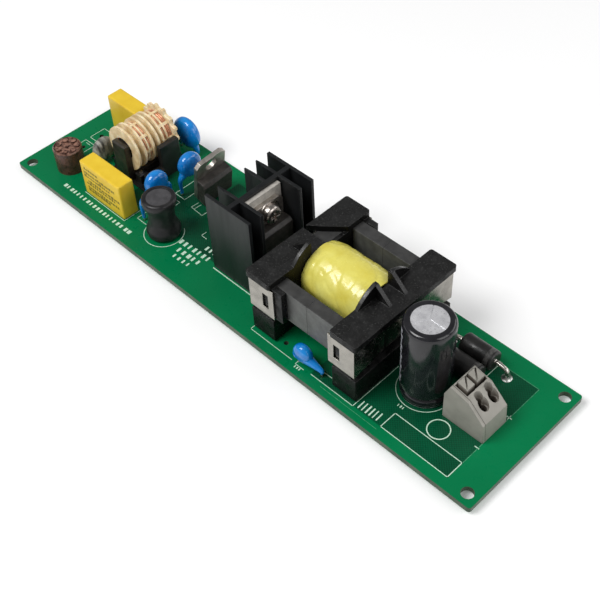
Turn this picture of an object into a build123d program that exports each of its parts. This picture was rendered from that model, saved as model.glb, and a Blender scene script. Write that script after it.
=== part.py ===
from build123d import *
import os
from math import atan2, cos, degrees, hypot, radians, sin, sqrt

# An open ac-dc converter board. X runs along the board from the mains end to the
# output terminal, Y across it, Z up. The origin is the centre of the four mounting
# holes on the underside of the board. Millimetres throughout, and every height
# named below is measured from the top face of the board. Places of the parts near
# the mains end are measured along the board from that end, and those of the others
# from a line a fixed share of the board's length beyond its middle.

os.makedirs("parts", exist_ok=True)

# Board
board_length = 170.0
board_width = 42.0
board_thickness = 1.6
board_corner = 0.8
mount_hole_radius = 1.6
mount_hole_inset = 3.0
socket_hole_radius = 0.65
socket_pitch = 6.9
socket_inset = 8.5
output_share = 0.3
spare_hole_place = (-28.7, -15.3)

# Leads, drills and solder
wire_radius = 0.3
heavy_wire_radius = 0.6
pin_side = 0.8
strip_width = 0.8
strip_thickness = 0.5
drill_clearance = 0.15
drill_facets = 8
solder_radius = 1.0
solder_tip_radius = 0.45
solder_height = 1.3

# Fuse
fuse_place = (13.0, -11.0)
fuse_radius = 4.225
fuse_height = 7.7
fuse_base_height = 1.5
fuse_boss_height = 1.5
fuse_wall = 0.6
fuse_top_wall = 1.0
fuse_recess = 0.45
fuse_fit = 0.05
fuse_pitch = 5.08
fuse_petals = 7
fuse_petal_radius = 0.8
fuse_petal_gap = 0.1
fuse_filament = 0.12
fuse_filament_lift = 0.25

# Box capacitors
box_height = 11.8
box_width = 5.2
box_corner = 0.5
box_foot = 0.3
box_foot_length = 0.4
front_box_place = (33.95, -12.4)
front_box_length = 17.5
front_box_pitch = 15.0
rear_box_place = (14.5, 11.2)
rear_box_length = 13.4
rear_box_pitch = 10.0

# Thermistor, a coated disc on edge
ntc_place = (18.7, -2.6)
ntc_diameter = 7.4
ntc_thickness = 3.5
ntc_pitch = 5.0
ntc_centre = 4.7
ntc_leg_radius = 0.6
ntc_leg_end = 0.8

# Common-mode choke, its bobbin lying along Y
choke_inset = 28.8
choke_front = -1.9
choke_axis = 9.8
choke_flange_radius = 6.8
choke_wire_radius = 5.5
choke_barrel_radius = 4.3
choke_bore_radius = 3.5
choke_flange_wall = 0.65
choke_flange_places = (0.0, 2.2, 5.3, 7.3, 8.9)
choke_gear_place = 12.95
choke_gear_wall = 1.2
choke_gear_root = 6.6
choke_gear_teeth = 14
choke_gear_turn = 5.0
choke_tooth_height = 0.9
choke_tooth_tip = 0.7
choke_tooth_foot = 1.9
choke_mid_places = (3.9, 10.7)
choke_mid_wall = 0.5
choke_mid_radius = 6.2
choke_rib_width = 0.9
choke_rib_height = 0.6
choke_ribs = 8
choke_limb = 4.4
choke_yoke_width = 5.6
choke_yoke_depth = 1.8
choke_yoke_top = 12.6
choke_return_height = 1.8
choke_fit = 0.1
choke_base_plate = 0.4
choke_base_margin = 3.9
choke_post = 2.6
choke_post_height = 3.2
choke_pin_spacing = (10.0, 12.5)
choke_wall_thickness = 1.6
choke_wall_height = 11.0
choke_wall_length = 6.7
choke_wall_start = 5.9
choke_step_height = 4.0
choke_step_reach = 2.6

# Disc capacitors: diameter, thickness, lead pitch, place of the middle between the leads,
# direction of the lead line in degrees, shift of the disc along it, height of its centre
disc_left = (7.4, 4.0, 10.0, (46.7, -6.0), 90.0, 0.9, 10.0)
disc_middle = (7.6, 4.0, 7.5, (46.8, 6.5), 90.0, 0.2, 9.1)
disc_rear = (10.0, 4.2, 7.5, (33.5, 17.1), 0.0, 0.0, 6.8)
disc_front = (5.6, 3.2, 7.5, (-18.7, -16.9), 3.0, -2.2, 4.0)
disc_leg_radius = 0.55
disc_leg_bend = 2.0
disc_leg_end = 1.0

# Softened rim of a coated disc, in parts of its thickness: inwards, and down from its face
disc_rim = ((0.42, 0.0), (0.14, 0.14), (0.0, 0.42))

# Drum inductor
drum_place = (54.6, -10.4)
drum_bottom = 0.6
drum_top = 12.9
drum_flange_radius = 4.45
drum_flange_thickness = 1.6
drum_flange_slope = 1.0
drum_waist_radius = 2.2
drum_wire_radius = 3.3
drum_sleeve_wall = 0.3
drum_fit = 0.05
drum_window_radius = 2.8
drum_pitch = 5.0

# Power packages with a metal tab
tab_width = 10.1
tab_thickness = 1.3
tab_length = 15.4
tab_chamfer = 1.3
tab_hole_radius = 1.85
tab_hole_drop = 2.8
pack_height = 9.1
pack_depth = 3.2
pack_slope = 0.9
pack_lead_pitch = 2.54
free_tab_place = (51.0, 8.9)
free_tab_bottom = 2.0
free_tab_lean = 16.0
free_tab_roll = 6.0
free_lead_knee = 0.5

# Heat sink, an upright extrusion with its web across the board
sink_place = -61.3
sink_length = 16.0
sink_front = -10.0
sink_back = 12.4
sink_foot = 0.4
sink_top = 25.9
sink_web_set = 7.2
sink_web = 1.3
sink_plate = 0.9
sink_rib = 0.9
sink_fin_tip = 0.4
sink_rib_places = (-5.5, 7.7)
sink_fin_place = 3.7
sink_fin_taper = 3.0
sink_pin_radius = 0.55
sink_pin_depth = 5.0
sink_tab_top = 22.4
pad_width = 11.5
pad_height = 17.0
pad_thickness = 1.2
pad_top = 24.8

# Screw that holds the second package on the heat sink
screw_radius = 1.5
screw_head_radius = 2.8
screw_head_height = 2.0
screw_rounding = 1.2
screw_recess = 0.8
screw_recess_length = 3.0
screw_recess_depth = 1.0
washer_radius = 3.4
washer_thickness = 0.5
washer_clearance = 0.15

# Transformer: two cores with round centre posts on a horizontal bobbin
trafo_place = (-21.0, 0.0)
core_length = 31.6
core_width = 30.0
core_leg = 3.55
core_yoke = 4.8
core_depth = 9.7
core_bottom = 9.3
core_post_radius = 4.75
core_glue = 0.05
former_fit = 0.15
former_wall = 0.8
former_flange = 1.0
cap_thickness = 1.7
cap_corner = 0.7
cap_side_overhang = 0.85
cap_end_overhang = 2.2
rail_side_overhang = 0.15
rail_end_overhang = 1.6
rail_top = 7.6
rail_foot = 0.5
pin_row_inset = 2.9
cheek_thickness = 1.7
cheek_length = 5.4
cheek_lip = 3.9
coil_radius = 8.1
tape_wall = 0.3
trafo_pins = 6
trafo_pin_pitch = 5.08
guide_width = 1.1
guide_length = 4.4
left_guides = (-3.7,)
right_guides = (-2.7, 2.7)
notch_straight = 1.95
notch_narrow = 3.0
notch_knee = (3.1, 5.3)
notch_wide = 9.7
clip_thickness = 0.4
clip_gap = 0.1
clip_arm = 8.3
clip_bow = 1.5
clip_flat = 6.0
clip_slot_width = 1.9
clip_slot_height = 4.6
clip_slot_set = 2.75

# Electrolytic capacitor
can_place = (5.5, -2.5)
can_radius = 6.05
can_top = 25.0
can_foot = 0.3
can_rounding = 0.7
can_groove_height = 2.8
can_groove_radius = 0.4
can_vent_scores = 3
sleeve_wall = 0.2
sleeve_window_radius = 4.5
bung_radius = 5.0
bung_height = 2.0
can_pitch = 5.0
score_width = 0.25
score_depth = 0.12

# Diodes lying along X behind the terminal
rear_diode_place = (9.1, 13.2)
front_diode_place = (9.1, 7.2)
diode_radius = 2.65
diode_length = 9.5
diode_edge = 0.3
diode_axis = 2.95
diode_lead_pitch = 17.0
diode_bend = 1.2

# Terminal block with push buttons, its side outline in X from its left face and height
term_place = 13.43
term_front = -5.7
term_plate = 0.9
term_outline = ((0.0, 0.0), (0.0, 8.35), (1.5, 11.9), (6.6, 10.7), (8.7, 8.7), (11.45, 6.05), (11.9, 0.0))
pole_pitch = 3.5
pole_first = 2.5
term_width = 7.75
button_left = 1.95
button_length = 2.8
button_width = 2.6
button_clearance = 0.12
button_proud = 0.35
button_travel = 1.0
button_rest_gap = 0.4
button_slot = 0.4
button_slot_depth = 0.4
button_slot_turn = -42.0
well_front = 0.9
well_right = 0.75
well_floor = 8.9
cavity_left = 1.2
cavity_right = 9.6
cavity_height = 5.2
cavity_width = 2.5
entry_radius = 1.1
entry_x = 8.35
entry_throat_radius = 0.9
entry_throat_x = 6.9
test_slot = (0.5, 0.9)
test_slot_x = 5.3
clamp_thickness = 0.4
clamp_width = 1.8
clamp_lift = 0.5
clamp_length = 7.2
clamp_height = 4.0
clamp_return = 3.4
term_pin_first = 2.7
term_pin_spacing = 5.0

top = board_thickness
mains_end = -board_length / 2
output_line = output_share * board_length


def from_mains(place):
    """Place on the board of a part on the mains side."""
    return (mains_end + place[0], place[1])


def from_output(place):
    """Place on the board of a part on the output side."""
    return (output_line + place[0], place[1])


def in_line(centre, pitch, count, angle=0.0):
    """Places of leads in a row about a centre."""
    along = (cos(radians(angle)), sin(radians(angle)))
    steps = [pitch * (k - (count - 1) / 2) for k in range(count)]
    return [(centre[0] + step * along[0], centre[1] + step * along[1]) for step in steps]


# Where the parts stand

spare_hole_at = from_output(spare_hole_place)
fuse_at = from_mains(fuse_place)
front_box_at = from_mains(front_box_place)
rear_box_at = from_mains(rear_box_place)
ntc_at = from_mains(ntc_place)
choke_x = mains_end + choke_inset
drum_at = from_mains(drum_place)
free_tab_at = from_mains(free_tab_place)
sink_left = output_line + sink_place
sink_right = sink_left + sink_length
sink_web_left = sink_left + sink_web_set
trafo_at = from_output(trafo_place)
can_at = from_output(can_place)
diode_places = {
    "diode_rear": from_output(rear_diode_place),
    "diode_front": from_output(front_diode_place),
}
term_left = output_line + term_place
discs = {
    "disc_capacitor_left": (from_mains(disc_left[3]), disc_left),
    "disc_capacitor_middle": (from_mains(disc_middle[3]), disc_middle),
    "disc_capacitor_rear": (from_mains(disc_rear[3]), disc_rear),
    "disc_capacitor_front": (from_output(disc_front[3]), disc_front),
}

# Where the leads go through the board

choke_length = choke_gear_place + choke_gear_wall
choke_y = choke_front + choke_length / 2
button_bottom = cavity_height + button_travel + button_rest_gap
core_side = core_width / 2 + former_fit + cheek_thickness
core_end = core_length / 2
sink_web_right = sink_web_left + sink_web
sink_web_x = sink_web_left + sink_web / 2
sink_tab_y = sum(sink_rib_places) / 2
sink_pin_ys = ((sink_front + sink_rib_places[0]) / 2, (sink_back + sink_rib_places[1]) / 2)
lead_offset = tab_thickness + pack_depth / 2 - strip_thickness / 2
poles = [term_front + term_plate + pole_first + k * pole_pitch for k in range(2)]

fuse_leads = in_line(fuse_at, fuse_pitch, 2)
box_leads = in_line(front_box_at, front_box_pitch, 2) + in_line(rear_box_at, rear_box_pitch, 2)
ntc_leads = in_line(ntc_at, ntc_pitch, 2, 90)
choke_leads = [
    (choke_x + sx * choke_pin_spacing[0] / 2, choke_y + sy * choke_pin_spacing[1] / 2)
    for sx in (-1, 1)
    for sy in (-1, 1)
]
disc_leads = [
    place for middle, disc in discs.values() for place in in_line(middle, disc[2], 2, disc[4])
]
drum_leads = in_line(drum_at, drum_pitch, 2, 90)
sink_leads = [(sink_web_x, y) for y in sink_pin_ys]
trafo_leads = [
    place
    for side in (-1, 1)
    for place in in_line(
        (trafo_at[0] + side * (core_end - pin_row_inset), trafo_at[1]), trafo_pin_pitch, trafo_pins, 90
    )
]
can_leads = in_line(can_at, can_pitch, 2)
diode_leads = [
    place for middle in diode_places.values() for place in in_line(middle, diode_lead_pitch, 2)
]
term_leads = [
    (term_left + term_pin_first + k * term_pin_spacing, y) for y in poles for k in range(2)
]


def package_plane(at, bottom, lean=0.0, roll=0.0):
    """Plane of a package's tab: X is its width, Y runs up it, Z is its front."""
    front = Vector(cos(radians(lean)), 0, -sin(radians(lean)))
    upward = Vector(sin(radians(lean)), 0, cos(radians(lean)))
    width = Vector(0, 1, 0) * cos(radians(roll)) + upward * sin(radians(roll))
    return Plane(origin=(at[0], at[1], top + bottom), x_dir=width, z_dir=front)


free_plane = package_plane(free_tab_at, free_tab_bottom, free_tab_lean, free_tab_roll)
mounted_plane = package_plane((sink_web_right + pad_thickness, sink_tab_y), sink_tab_top - tab_length)


def package_lead_paths(plane, knee):
    """Knee of each lead of a package, below its body, on the way to the board."""
    offsets = [pack_lead_pitch * k for k in (-1, 0, 1)]
    return [
        (plane.from_local_coords((x, 0, lead_offset)), plane.from_local_coords((x, -knee, lead_offset)))
        for x in offsets
    ]


free_paths = package_lead_paths(free_plane, free_lead_knee)
mounted_paths = package_lead_paths(mounted_plane, free_lead_knee)
strip_leads = [(knee.X, knee.Y) for start, knee in free_paths + mounted_paths]

wires = fuse_leads + box_leads + ntc_leads + disc_leads + drum_leads + can_leads
heavy_wires = diode_leads
pins = choke_leads + trafo_leads + term_leads
drills = (
    (wires, wire_radius),
    (heavy_wires, heavy_wire_radius),
    (sink_leads, sink_pin_radius),
    (pins, hypot(pin_side, pin_side) / 2),
    (strip_leads, hypot(strip_width, strip_thickness) / 2),
)


def save(piece, label):
    """Label a finished piece and write it to its own file."""
    piece.part.label = label
    export_step(piece.part, f"parts/{label}.step")


def straight_wires(places, label, radius, up_to):
    """Round wires from the solder side up to a height above the board."""
    with BuildPart() as leads:
        with Locations(*places):
            Cylinder(radius, top + up_to, align=(Align.CENTER, Align.CENTER, Align.MIN))
    save(leads, label)


def square_pins(places, label, up_to):
    """Square pins from the solder side up to a height above the board."""
    with BuildPart() as leads:
        with Locations(*places):
            Box(pin_side, pin_side, top + up_to, align=(Align.CENTER, Align.CENTER, Align.MIN))
    save(leads, label)


# Board and solder

with BuildPart() as circuit_board:
    with BuildSketch(Plane.XY) as outline:
        RectangleRounded(board_length, board_width, board_corner)
        with GridLocations(
            board_length - 2 * mount_hole_inset, board_width - 2 * mount_hole_inset, 2, 2
        ):
            Circle(mount_hole_radius, mode=Mode.SUBTRACT)
        with Locations(spare_hole_at, *in_line((mains_end + socket_inset, 0), socket_pitch, 2, 90)):
            Circle(socket_hole_radius, mode=Mode.SUBTRACT)
        for places, radius in drills:
            with Locations(*places):
                RegularPolygon(radius + drill_clearance, drill_facets, mode=Mode.SUBTRACT)
    extrude(amount=board_thickness)
save(circuit_board, "circuit_board")

solder_slope = degrees(atan2(solder_radius - solder_tip_radius, solder_height))
with BuildPart() as solder_joints:
    with BuildSketch(Plane.XY.rotated((180, 0, 0))) as pads:
        for places, radius in drills:
            with Locations(*[(x, -y) for x, y in places]):
                RegularPolygon(solder_radius, drill_facets)
    extrude(amount=solder_height, taper=solder_slope)
save(solder_joints, "solder_joints")

# Fuse

fuse_inner_radius = fuse_radius - fuse_wall
fuse_boss_top = fuse_base_height + fuse_boss_height
fuse_plane = Plane.XZ.offset(-fuse_at[1])
fuse_axis = Axis((*fuse_at, 0), (0, 0, 1))

with BuildPart() as fuse_base:
    with BuildSketch(Plane.XY.offset(top)) as disc:
        with Locations(fuse_at):
            Circle(fuse_radius)
    extrude(amount=fuse_base_height)
    with BuildSketch(Plane.XY.offset(top + fuse_base_height)) as boss:
        with Locations(fuse_at):
            Circle(fuse_inner_radius - fuse_fit)
    extrude(amount=fuse_boss_height)
    with BuildSketch(Plane.XY.offset(top)) as bores:
        with Locations(*fuse_leads):
            Circle(wire_radius)
    extrude(amount=fuse_boss_top, mode=Mode.SUBTRACT)
save(fuse_base, "fuse_base")

with BuildPart() as fuse_cap:
    with BuildSketch(fuse_plane) as section:
        with BuildLine() as line:
            Polyline(
                (fuse_at[0] + fuse_inner_radius, top + fuse_base_height),
                (fuse_at[0] + fuse_radius, top + fuse_base_height),
                (fuse_at[0] + fuse_radius, top + fuse_height - fuse_recess),
                (fuse_at[0] + fuse_radius - fuse_wall / 2, top + fuse_height),
                (fuse_at[0] + fuse_inner_radius, top + fuse_height - fuse_recess),
                (fuse_at[0], top + fuse_height - fuse_recess),
                (fuse_at[0], top + fuse_height - fuse_recess - fuse_top_wall),
                (fuse_at[0] + fuse_inner_radius, top + fuse_height - fuse_recess - fuse_top_wall),
                close=True,
            )
        make_face()
    revolve(axis=fuse_axis)
    with BuildSketch(Plane.XY.offset(top + fuse_height - fuse_recess)) as petals:
        with Locations(fuse_at):
            Circle(fuse_petal_radius / 2)
            with PolarLocations(fuse_inner_radius - fuse_petal_gap - fuse_petal_radius, fuse_petals):
                Circle(fuse_petal_radius)
    extrude(amount=fuse_recess)
save(fuse_cap, "fuse_cap")

with BuildPart() as fuse_element:
    with Locations(*fuse_leads):
        Cylinder(
            wire_radius,
            top + fuse_boss_top + 2 * fuse_filament_lift,
            align=(Align.CENTER, Align.CENTER, Align.MIN),
        )
    with BuildSketch(Plane.YZ.offset(fuse_leads[0][0])) as section:
        with Locations((fuse_at[1], top + fuse_boss_top + fuse_filament_lift)):
            Circle(fuse_filament)
    extrude(amount=fuse_pitch)
save(fuse_element, "fuse_element")

# Box capacitors

for label, place, length in (
    ("x2_capacitor_front", front_box_at, front_box_length),
    ("x2_capacitor_rear", rear_box_at, rear_box_length),
):
    with BuildPart() as box:
        with BuildSketch(Plane.XY.offset(top + box_foot)) as plan:
            with Locations(place):
                Rectangle(length, box_width)
        extrude(amount=box_height - box_foot)
        fillet(box.edges().filter_by(Axis.Z) + box.edges().group_by(Axis.Z)[-1], box_corner)
        with BuildSketch(Plane.XY.offset(top)) as feet:
            with Locations(place):
                with GridLocations(length - 2 * box_corner - box_foot_length, 0, 2, 1):
                    Rectangle(box_foot_length, box_width - 2 * box_corner)
        extrude(amount=box_foot)
    save(box, label)

straight_wires(box_leads, "x2_capacitor_leads", wire_radius, box_foot)

# Thermistor, with the coat running down its leads


def coated_disc(centre, along, diameter, thickness):
    """A disc on edge with softened rims, its faces level with a direction along the board."""
    normal = along.cross(Vector(0, 0, 1))
    rim = [
        (diameter / 2 - inward * thickness, thickness / 2 - down * thickness)
        for inward, down in disc_rim
    ]
    with BuildSketch(Plane(origin=centre, x_dir=along, z_dir=along.cross(normal))) as section:
        with BuildLine() as line:
            Polyline(
                (0, thickness / 2),
                *rim,
                *[(x, -y) for x, y in reversed(rim)],
                (0, -thickness / 2),
                close=True,
            )
        make_face(line.edges())
    revolve(section.sketch, axis=Axis(centre, normal))


with BuildPart() as thermistor:
    coated_disc(
        Vector(ntc_at[0], ntc_at[1], top + ntc_centre), Vector(0, 1, 0), ntc_diameter, ntc_thickness
    )
    with BuildSketch(Plane.XY.offset(top + ntc_leg_end)) as legs:
        with Locations(*ntc_leads):
            Circle(ntc_leg_radius)
    extrude(amount=ntc_centre - ntc_leg_end)
save(thermistor, "thermistor")

straight_wires(ntc_leads, "thermistor_leads", wire_radius, ntc_leg_end)

# Common-mode choke

choke_core_bottom = choke_base_plate
choke_yoke_front = choke_front - choke_fit - choke_yoke_depth
choke_yoke_back = choke_front + choke_length + choke_fit + choke_yoke_depth


def choke_plane(distance):
    """Plane across the bobbin at a distance behind its front face, facing the rear."""
    face = (choke_x, choke_front + distance, top + choke_axis)
    return Plane(origin=face, x_dir=(-1, 0, 0), z_dir=(0, 1, 0))


winding_spans = {
    "choke_winding_front": (choke_flange_places[1], choke_flange_places[2]),
    "choke_winding_rear": (choke_flange_places[4], choke_gear_place),
}
with BuildPart() as choke_bobbin:
    with BuildSketch(choke_plane(0)) as barrel:
        Circle(choke_barrel_radius)
    extrude(amount=choke_length)
    for start in choke_flange_places:
        with BuildSketch(choke_plane(start)) as flange:
            Circle(choke_flange_radius)
        extrude(amount=choke_flange_wall)
    with BuildSketch(choke_plane(choke_gear_place)) as gear:
        Circle(choke_gear_root)
        with PolarLocations(0, choke_gear_teeth, start_angle=choke_gear_turn):
            Polygon(
                (choke_barrel_radius, -choke_tooth_foot / 2),
                (choke_gear_root, -choke_tooth_foot / 2),
                (choke_gear_root + choke_tooth_height, -choke_tooth_tip / 2),
                (choke_gear_root + choke_tooth_height, choke_tooth_tip / 2),
                (choke_gear_root, choke_tooth_foot / 2),
                (choke_barrel_radius, choke_tooth_foot / 2),
                align=None,
            )
    extrude(amount=choke_gear_wall)
    for start in choke_mid_places:
        with BuildSketch(choke_plane(start)) as mid_ring:
            Circle(choke_mid_radius)
            Circle(choke_wire_radius, mode=Mode.SUBTRACT)
        extrude(amount=choke_mid_wall)
    for start, end in winding_spans.values():
        with BuildSketch(choke_plane(start + choke_flange_wall)) as ribs:
            with PolarLocations(choke_wire_radius + choke_rib_height / 2, choke_ribs):
                Rectangle(choke_rib_height, choke_rib_width)
        extrude(amount=end - start - choke_flange_wall)
    with BuildSketch(choke_plane(0)) as bore:
        Circle(choke_bore_radius)
    extrude(amount=choke_length, mode=Mode.SUBTRACT)
save(choke_bobbin, "choke_bobbin")

for label, (start, end) in winding_spans.items():
    with BuildPart() as winding:
        with BuildSketch(choke_plane(start + choke_flange_wall)) as ring:
            Circle(choke_wire_radius)
            Circle(choke_barrel_radius, mode=Mode.SUBTRACT)
        extrude(amount=end - start - choke_flange_wall)
    save(winding, label)

with BuildPart() as choke_core:
    with Locations(
        (choke_x, choke_yoke_front, top + choke_core_bottom),
        (choke_x, choke_yoke_back - choke_yoke_depth, top + choke_core_bottom),
    ):
        Box(
            choke_yoke_width,
            choke_yoke_depth,
            choke_yoke_top - choke_core_bottom,
            align=(Align.CENTER, Align.MIN, Align.MIN),
        )
    fillet(choke_core.edges().group_by(Axis.Z)[-1], box_corner)
    with Locations((choke_x, choke_y, top + choke_core_bottom)):
        Box(
            choke_yoke_width,
            choke_length + 2 * choke_fit,
            choke_return_height,
            align=(Align.CENTER, Align.CENTER, Align.MIN),
        )
    with Locations((choke_x, choke_y, top + choke_axis)):
        Box(choke_limb, choke_length + 2 * choke_fit, choke_limb)
save(choke_core, "choke_core")

choke_base_right = choke_x + choke_pin_spacing[0] / 2 + choke_base_margin
choke_base_left = choke_x - choke_pin_spacing[0] / 2 - choke_post / 2
with BuildPart() as choke_base:
    with BuildSketch(Plane.XY.offset(top)) as plate:
        with Locations(((choke_base_left + choke_base_right) / 2, choke_y)):
            Rectangle(choke_base_right - choke_base_left, choke_yoke_back - choke_yoke_front)
    extrude(amount=choke_base_plate)
    with BuildSketch(Plane.XY.offset(top)) as posts:
        with Locations(*choke_leads):
            Rectangle(choke_post, choke_post)
    extrude(amount=choke_post_height)
    with BuildSketch(Plane.XY.offset(top)) as step:
        with Locations((choke_base_right - choke_wall_thickness, choke_front)):
            Rectangle(choke_step_reach, choke_wall_start, align=(Align.MIN, Align.MIN))
    extrude(amount=choke_step_height)
    with BuildSketch(Plane.XY.offset(top)) as wall:
        with Locations((choke_base_right - choke_wall_thickness, choke_front + choke_wall_start)):
            Rectangle(choke_wall_thickness, choke_wall_length, align=(Align.MIN, Align.MIN))
    extrude(amount=choke_wall_height)
    with BuildSketch(Plane.XY.offset(top)) as bores:
        with Locations(*choke_leads):
            Rectangle(pin_side, pin_side)
    extrude(amount=choke_post_height, mode=Mode.SUBTRACT)
save(choke_base, "choke_base")

square_pins(choke_leads, "choke_pins", choke_post_height + pin_side)

# Disc capacitors: a round coated disc with its coat running down two bent legs

for label, (middle, disc_sizes) in discs.items():
    diameter, thickness, pitch, place, angle, shift, height = disc_sizes
    along = Vector(cos(radians(angle)), sin(radians(angle)), 0)
    centre = Vector(middle[0], middle[1], top + height) + along * shift
    with BuildPart() as disc:
        coated_disc(centre, along, diameter, thickness)
        for side in (-1, 1):
            foot = Vector(middle[0], middle[1], top) + along * (side * pitch / 2)
            start = centre + along * (side * diameter / 4)
            with BuildLine() as leg:
                Polyline(start, foot + Vector(0, 0, disc_leg_bend), foot + Vector(0, 0, disc_leg_end))
            with BuildSketch(Plane(origin=start, z_dir=leg.line % 0)) as section:
                Circle(disc_leg_radius)
            sweep(path=leg.line, transition=Transition.RIGHT)
    save(disc, label)

straight_wires(disc_leads, "disc_capacitor_leads", wire_radius, disc_leg_end)

# Drum inductor in its shrunk sleeve

drum_plane = Plane.XZ.offset(-drum_at[1])
drum_axis = Axis((*drum_at, 0), (0, 0, 1))


def drum_outline(flange, waist, low, high, grow):
    """Points of a waisted drum from its bottom edge to its top edge."""
    lower = low + drum_flange_thickness + grow
    upper = high - drum_flange_thickness - grow
    return [
        (drum_at[0] + flange, top + low),
        (drum_at[0] + flange, top + lower),
        (drum_at[0] + waist, top + lower + drum_flange_slope),
        (drum_at[0] + waist, top + upper - drum_flange_slope),
        (drum_at[0] + flange, top + upper),
        (drum_at[0] + flange, top + high),
    ]


with BuildPart() as drum_core:
    with BuildSketch(drum_plane) as section:
        with BuildLine() as line:
            Polyline(
                (drum_at[0], top + drum_bottom),
                *drum_outline(drum_flange_radius, drum_waist_radius, drum_bottom, drum_top, 0),
                (drum_at[0], top + drum_top),
                close=True,
            )
        make_face()
    revolve(axis=drum_axis)
save(drum_core, "drum_core")

drum_wire_slope = drum_flange_slope * (drum_wire_radius - drum_waist_radius) / (
    drum_flange_radius - drum_waist_radius
)
drum_wire_low = drum_bottom + drum_flange_thickness + drum_flange_slope
drum_wire_high = drum_top - drum_flange_thickness - drum_flange_slope
with BuildPart() as drum_winding:
    with BuildSketch(drum_plane) as section:
        with BuildLine() as line:
            Polyline(
                (drum_at[0] + drum_waist_radius, top + drum_wire_low),
                (drum_at[0] + drum_wire_radius, top + drum_wire_low - drum_wire_slope),
                (drum_at[0] + drum_wire_radius, top + drum_wire_high + drum_wire_slope),
                (drum_at[0] + drum_waist_radius, top + drum_wire_high),
                close=True,
            )
        make_face()
    revolve(axis=drum_axis)
save(drum_winding, "drum_winding")

inside = drum_outline(
    drum_flange_radius + drum_fit, drum_wire_radius + drum_fit, drum_bottom, drum_top + drum_fit, drum_fit
)
outside = drum_outline(
    drum_flange_radius + drum_fit + drum_sleeve_wall,
    drum_wire_radius + drum_fit + drum_sleeve_wall,
    drum_bottom,
    drum_top + drum_fit + drum_sleeve_wall,
    drum_fit + drum_sleeve_wall,
)
with BuildPart() as drum_sleeve:
    with BuildSketch(drum_plane) as section:
        with BuildLine() as line:
            Polyline(
                *outside,
                (drum_at[0] + drum_window_radius, outside[-1][1]),
                (drum_at[0] + drum_window_radius, inside[-1][1]),
                *reversed(inside),
                close=True,
            )
        make_face()
    revolve(axis=drum_axis)
save(drum_sleeve, "drum_sleeve")

straight_wires(drum_leads, "drum_leads", wire_radius, drum_bottom)

# Power packages


def build_package(prefix, plane, paths):
    """Tab, plastic body and three flat leads of one package."""
    with BuildPart() as tab:
        with BuildSketch(plane) as outline:
            Rectangle(tab_width, tab_length, align=(Align.CENTER, Align.MIN))
            chamfer(outline.vertices().group_by(Axis.Y)[-1], tab_chamfer)
            with Locations((0, tab_length - tab_hole_drop)):
                Circle(tab_hole_radius, mode=Mode.SUBTRACT)
        extrude(outline.sketch, amount=tab_thickness)
    save(tab, f"{prefix}_tab")

    side = Plane(
        origin=plane.from_local_coords((tab_width / 2, 0, 0)), x_dir=plane.z_dir, z_dir=-plane.x_dir
    )
    with BuildPart() as body:
        with BuildSketch(side) as section:
            with BuildLine() as line:
                Polyline(
                    (tab_thickness, 0),
                    (tab_thickness + pack_depth, 0),
                    (tab_thickness + pack_depth, pack_height - pack_slope),
                    (tab_thickness + pack_depth - pack_slope, pack_height),
                    (tab_thickness, pack_height),
                    close=True,
                )
            make_face(line.edges())
        extrude(section.sketch, amount=tab_width)
    save(body, f"{prefix}_body")

    with BuildPart() as leads:
        for start, knee in paths:
            with BuildLine() as path:
                Polyline(start, knee, (knee.X, knee.Y, 0))
            with BuildSketch(Plane(origin=start, x_dir=plane.x_dir, z_dir=-plane.y_dir)) as strip:
                Rectangle(strip_width, strip_thickness)
            sweep(strip.sketch, path=path.line, transition=Transition.RIGHT)
    save(leads, f"{prefix}_leads")


build_package("free_transistor", free_plane, free_paths)
build_package("mounted_transistor", mounted_plane, mounted_paths)

# Heat sink

screw_height = top + sink_tab_top - tab_hole_drop
screw_grip = sink_web + pad_thickness + tab_thickness
screw_plane = Plane(
    origin=(sink_web_left + screw_grip, sink_tab_y, screw_height), x_dir=(0, 1, 0), z_dir=(1, 0, 0)
)


def tapered_fin(y, reach_left):
    """Plan of a fin on the mains side of the web, thinning to its tip."""
    return [
        (sink_web_left, y - sink_rib / 2),
        (sink_web_left, y + sink_rib / 2),
        (reach_left + sink_fin_taper, y + sink_rib / 2),
        (reach_left, y + sink_fin_tip / 2),
        (reach_left, y - sink_fin_tip / 2),
        (reach_left + sink_fin_taper, y - sink_rib / 2),
    ]


with BuildPart() as heatsink:
    with BuildSketch(Plane.XY.offset(top + sink_foot)) as plan:
        with Locations((sink_web_left, sink_front)):
            Rectangle(sink_web, sink_back - sink_front, align=(Align.MIN, Align.MIN))
        with Locations((sink_left, sink_front), (sink_left, sink_back - sink_plate)):
            Rectangle(sink_right - sink_left, sink_plate, align=(Align.MIN, Align.MIN))
        with Locations(*[(sink_web_right, y) for y in sink_rib_places]):
            Rectangle(sink_right - sink_web_right, sink_rib, align=(Align.MIN, Align.CENTER))
        for y in (*sink_rib_places, sink_fin_place):
            with BuildLine() as fin:
                Polyline(*tapered_fin(y, sink_left), close=True)
            make_face()
    extrude(amount=sink_top - sink_foot)
    with BuildSketch(screw_plane) as screw_hole:
        Circle(screw_radius)
    extrude(amount=-screw_grip, mode=Mode.SUBTRACT)
    with BuildSketch(Plane.XY.offset(top + sink_foot)) as pin_holes:
        with Locations(*sink_leads):
            Circle(sink_pin_radius)
    extrude(amount=sink_pin_depth, mode=Mode.SUBTRACT)
save(heatsink, "heatsink")

straight_wires(sink_leads, "heatsink_pins", sink_pin_radius, sink_foot + sink_pin_depth)

with BuildPart() as thermal_pad:
    with BuildSketch(Plane.YZ.offset(sink_web_right)) as sheet:
        with Locations((sink_tab_y, top + pad_top - pad_height / 2)):
            Rectangle(pad_width, pad_height)
        with Locations((sink_tab_y, screw_height)):
            Circle(screw_radius, mode=Mode.SUBTRACT)
    extrude(amount=pad_thickness)
save(thermal_pad, "thermal_pad")

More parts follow.
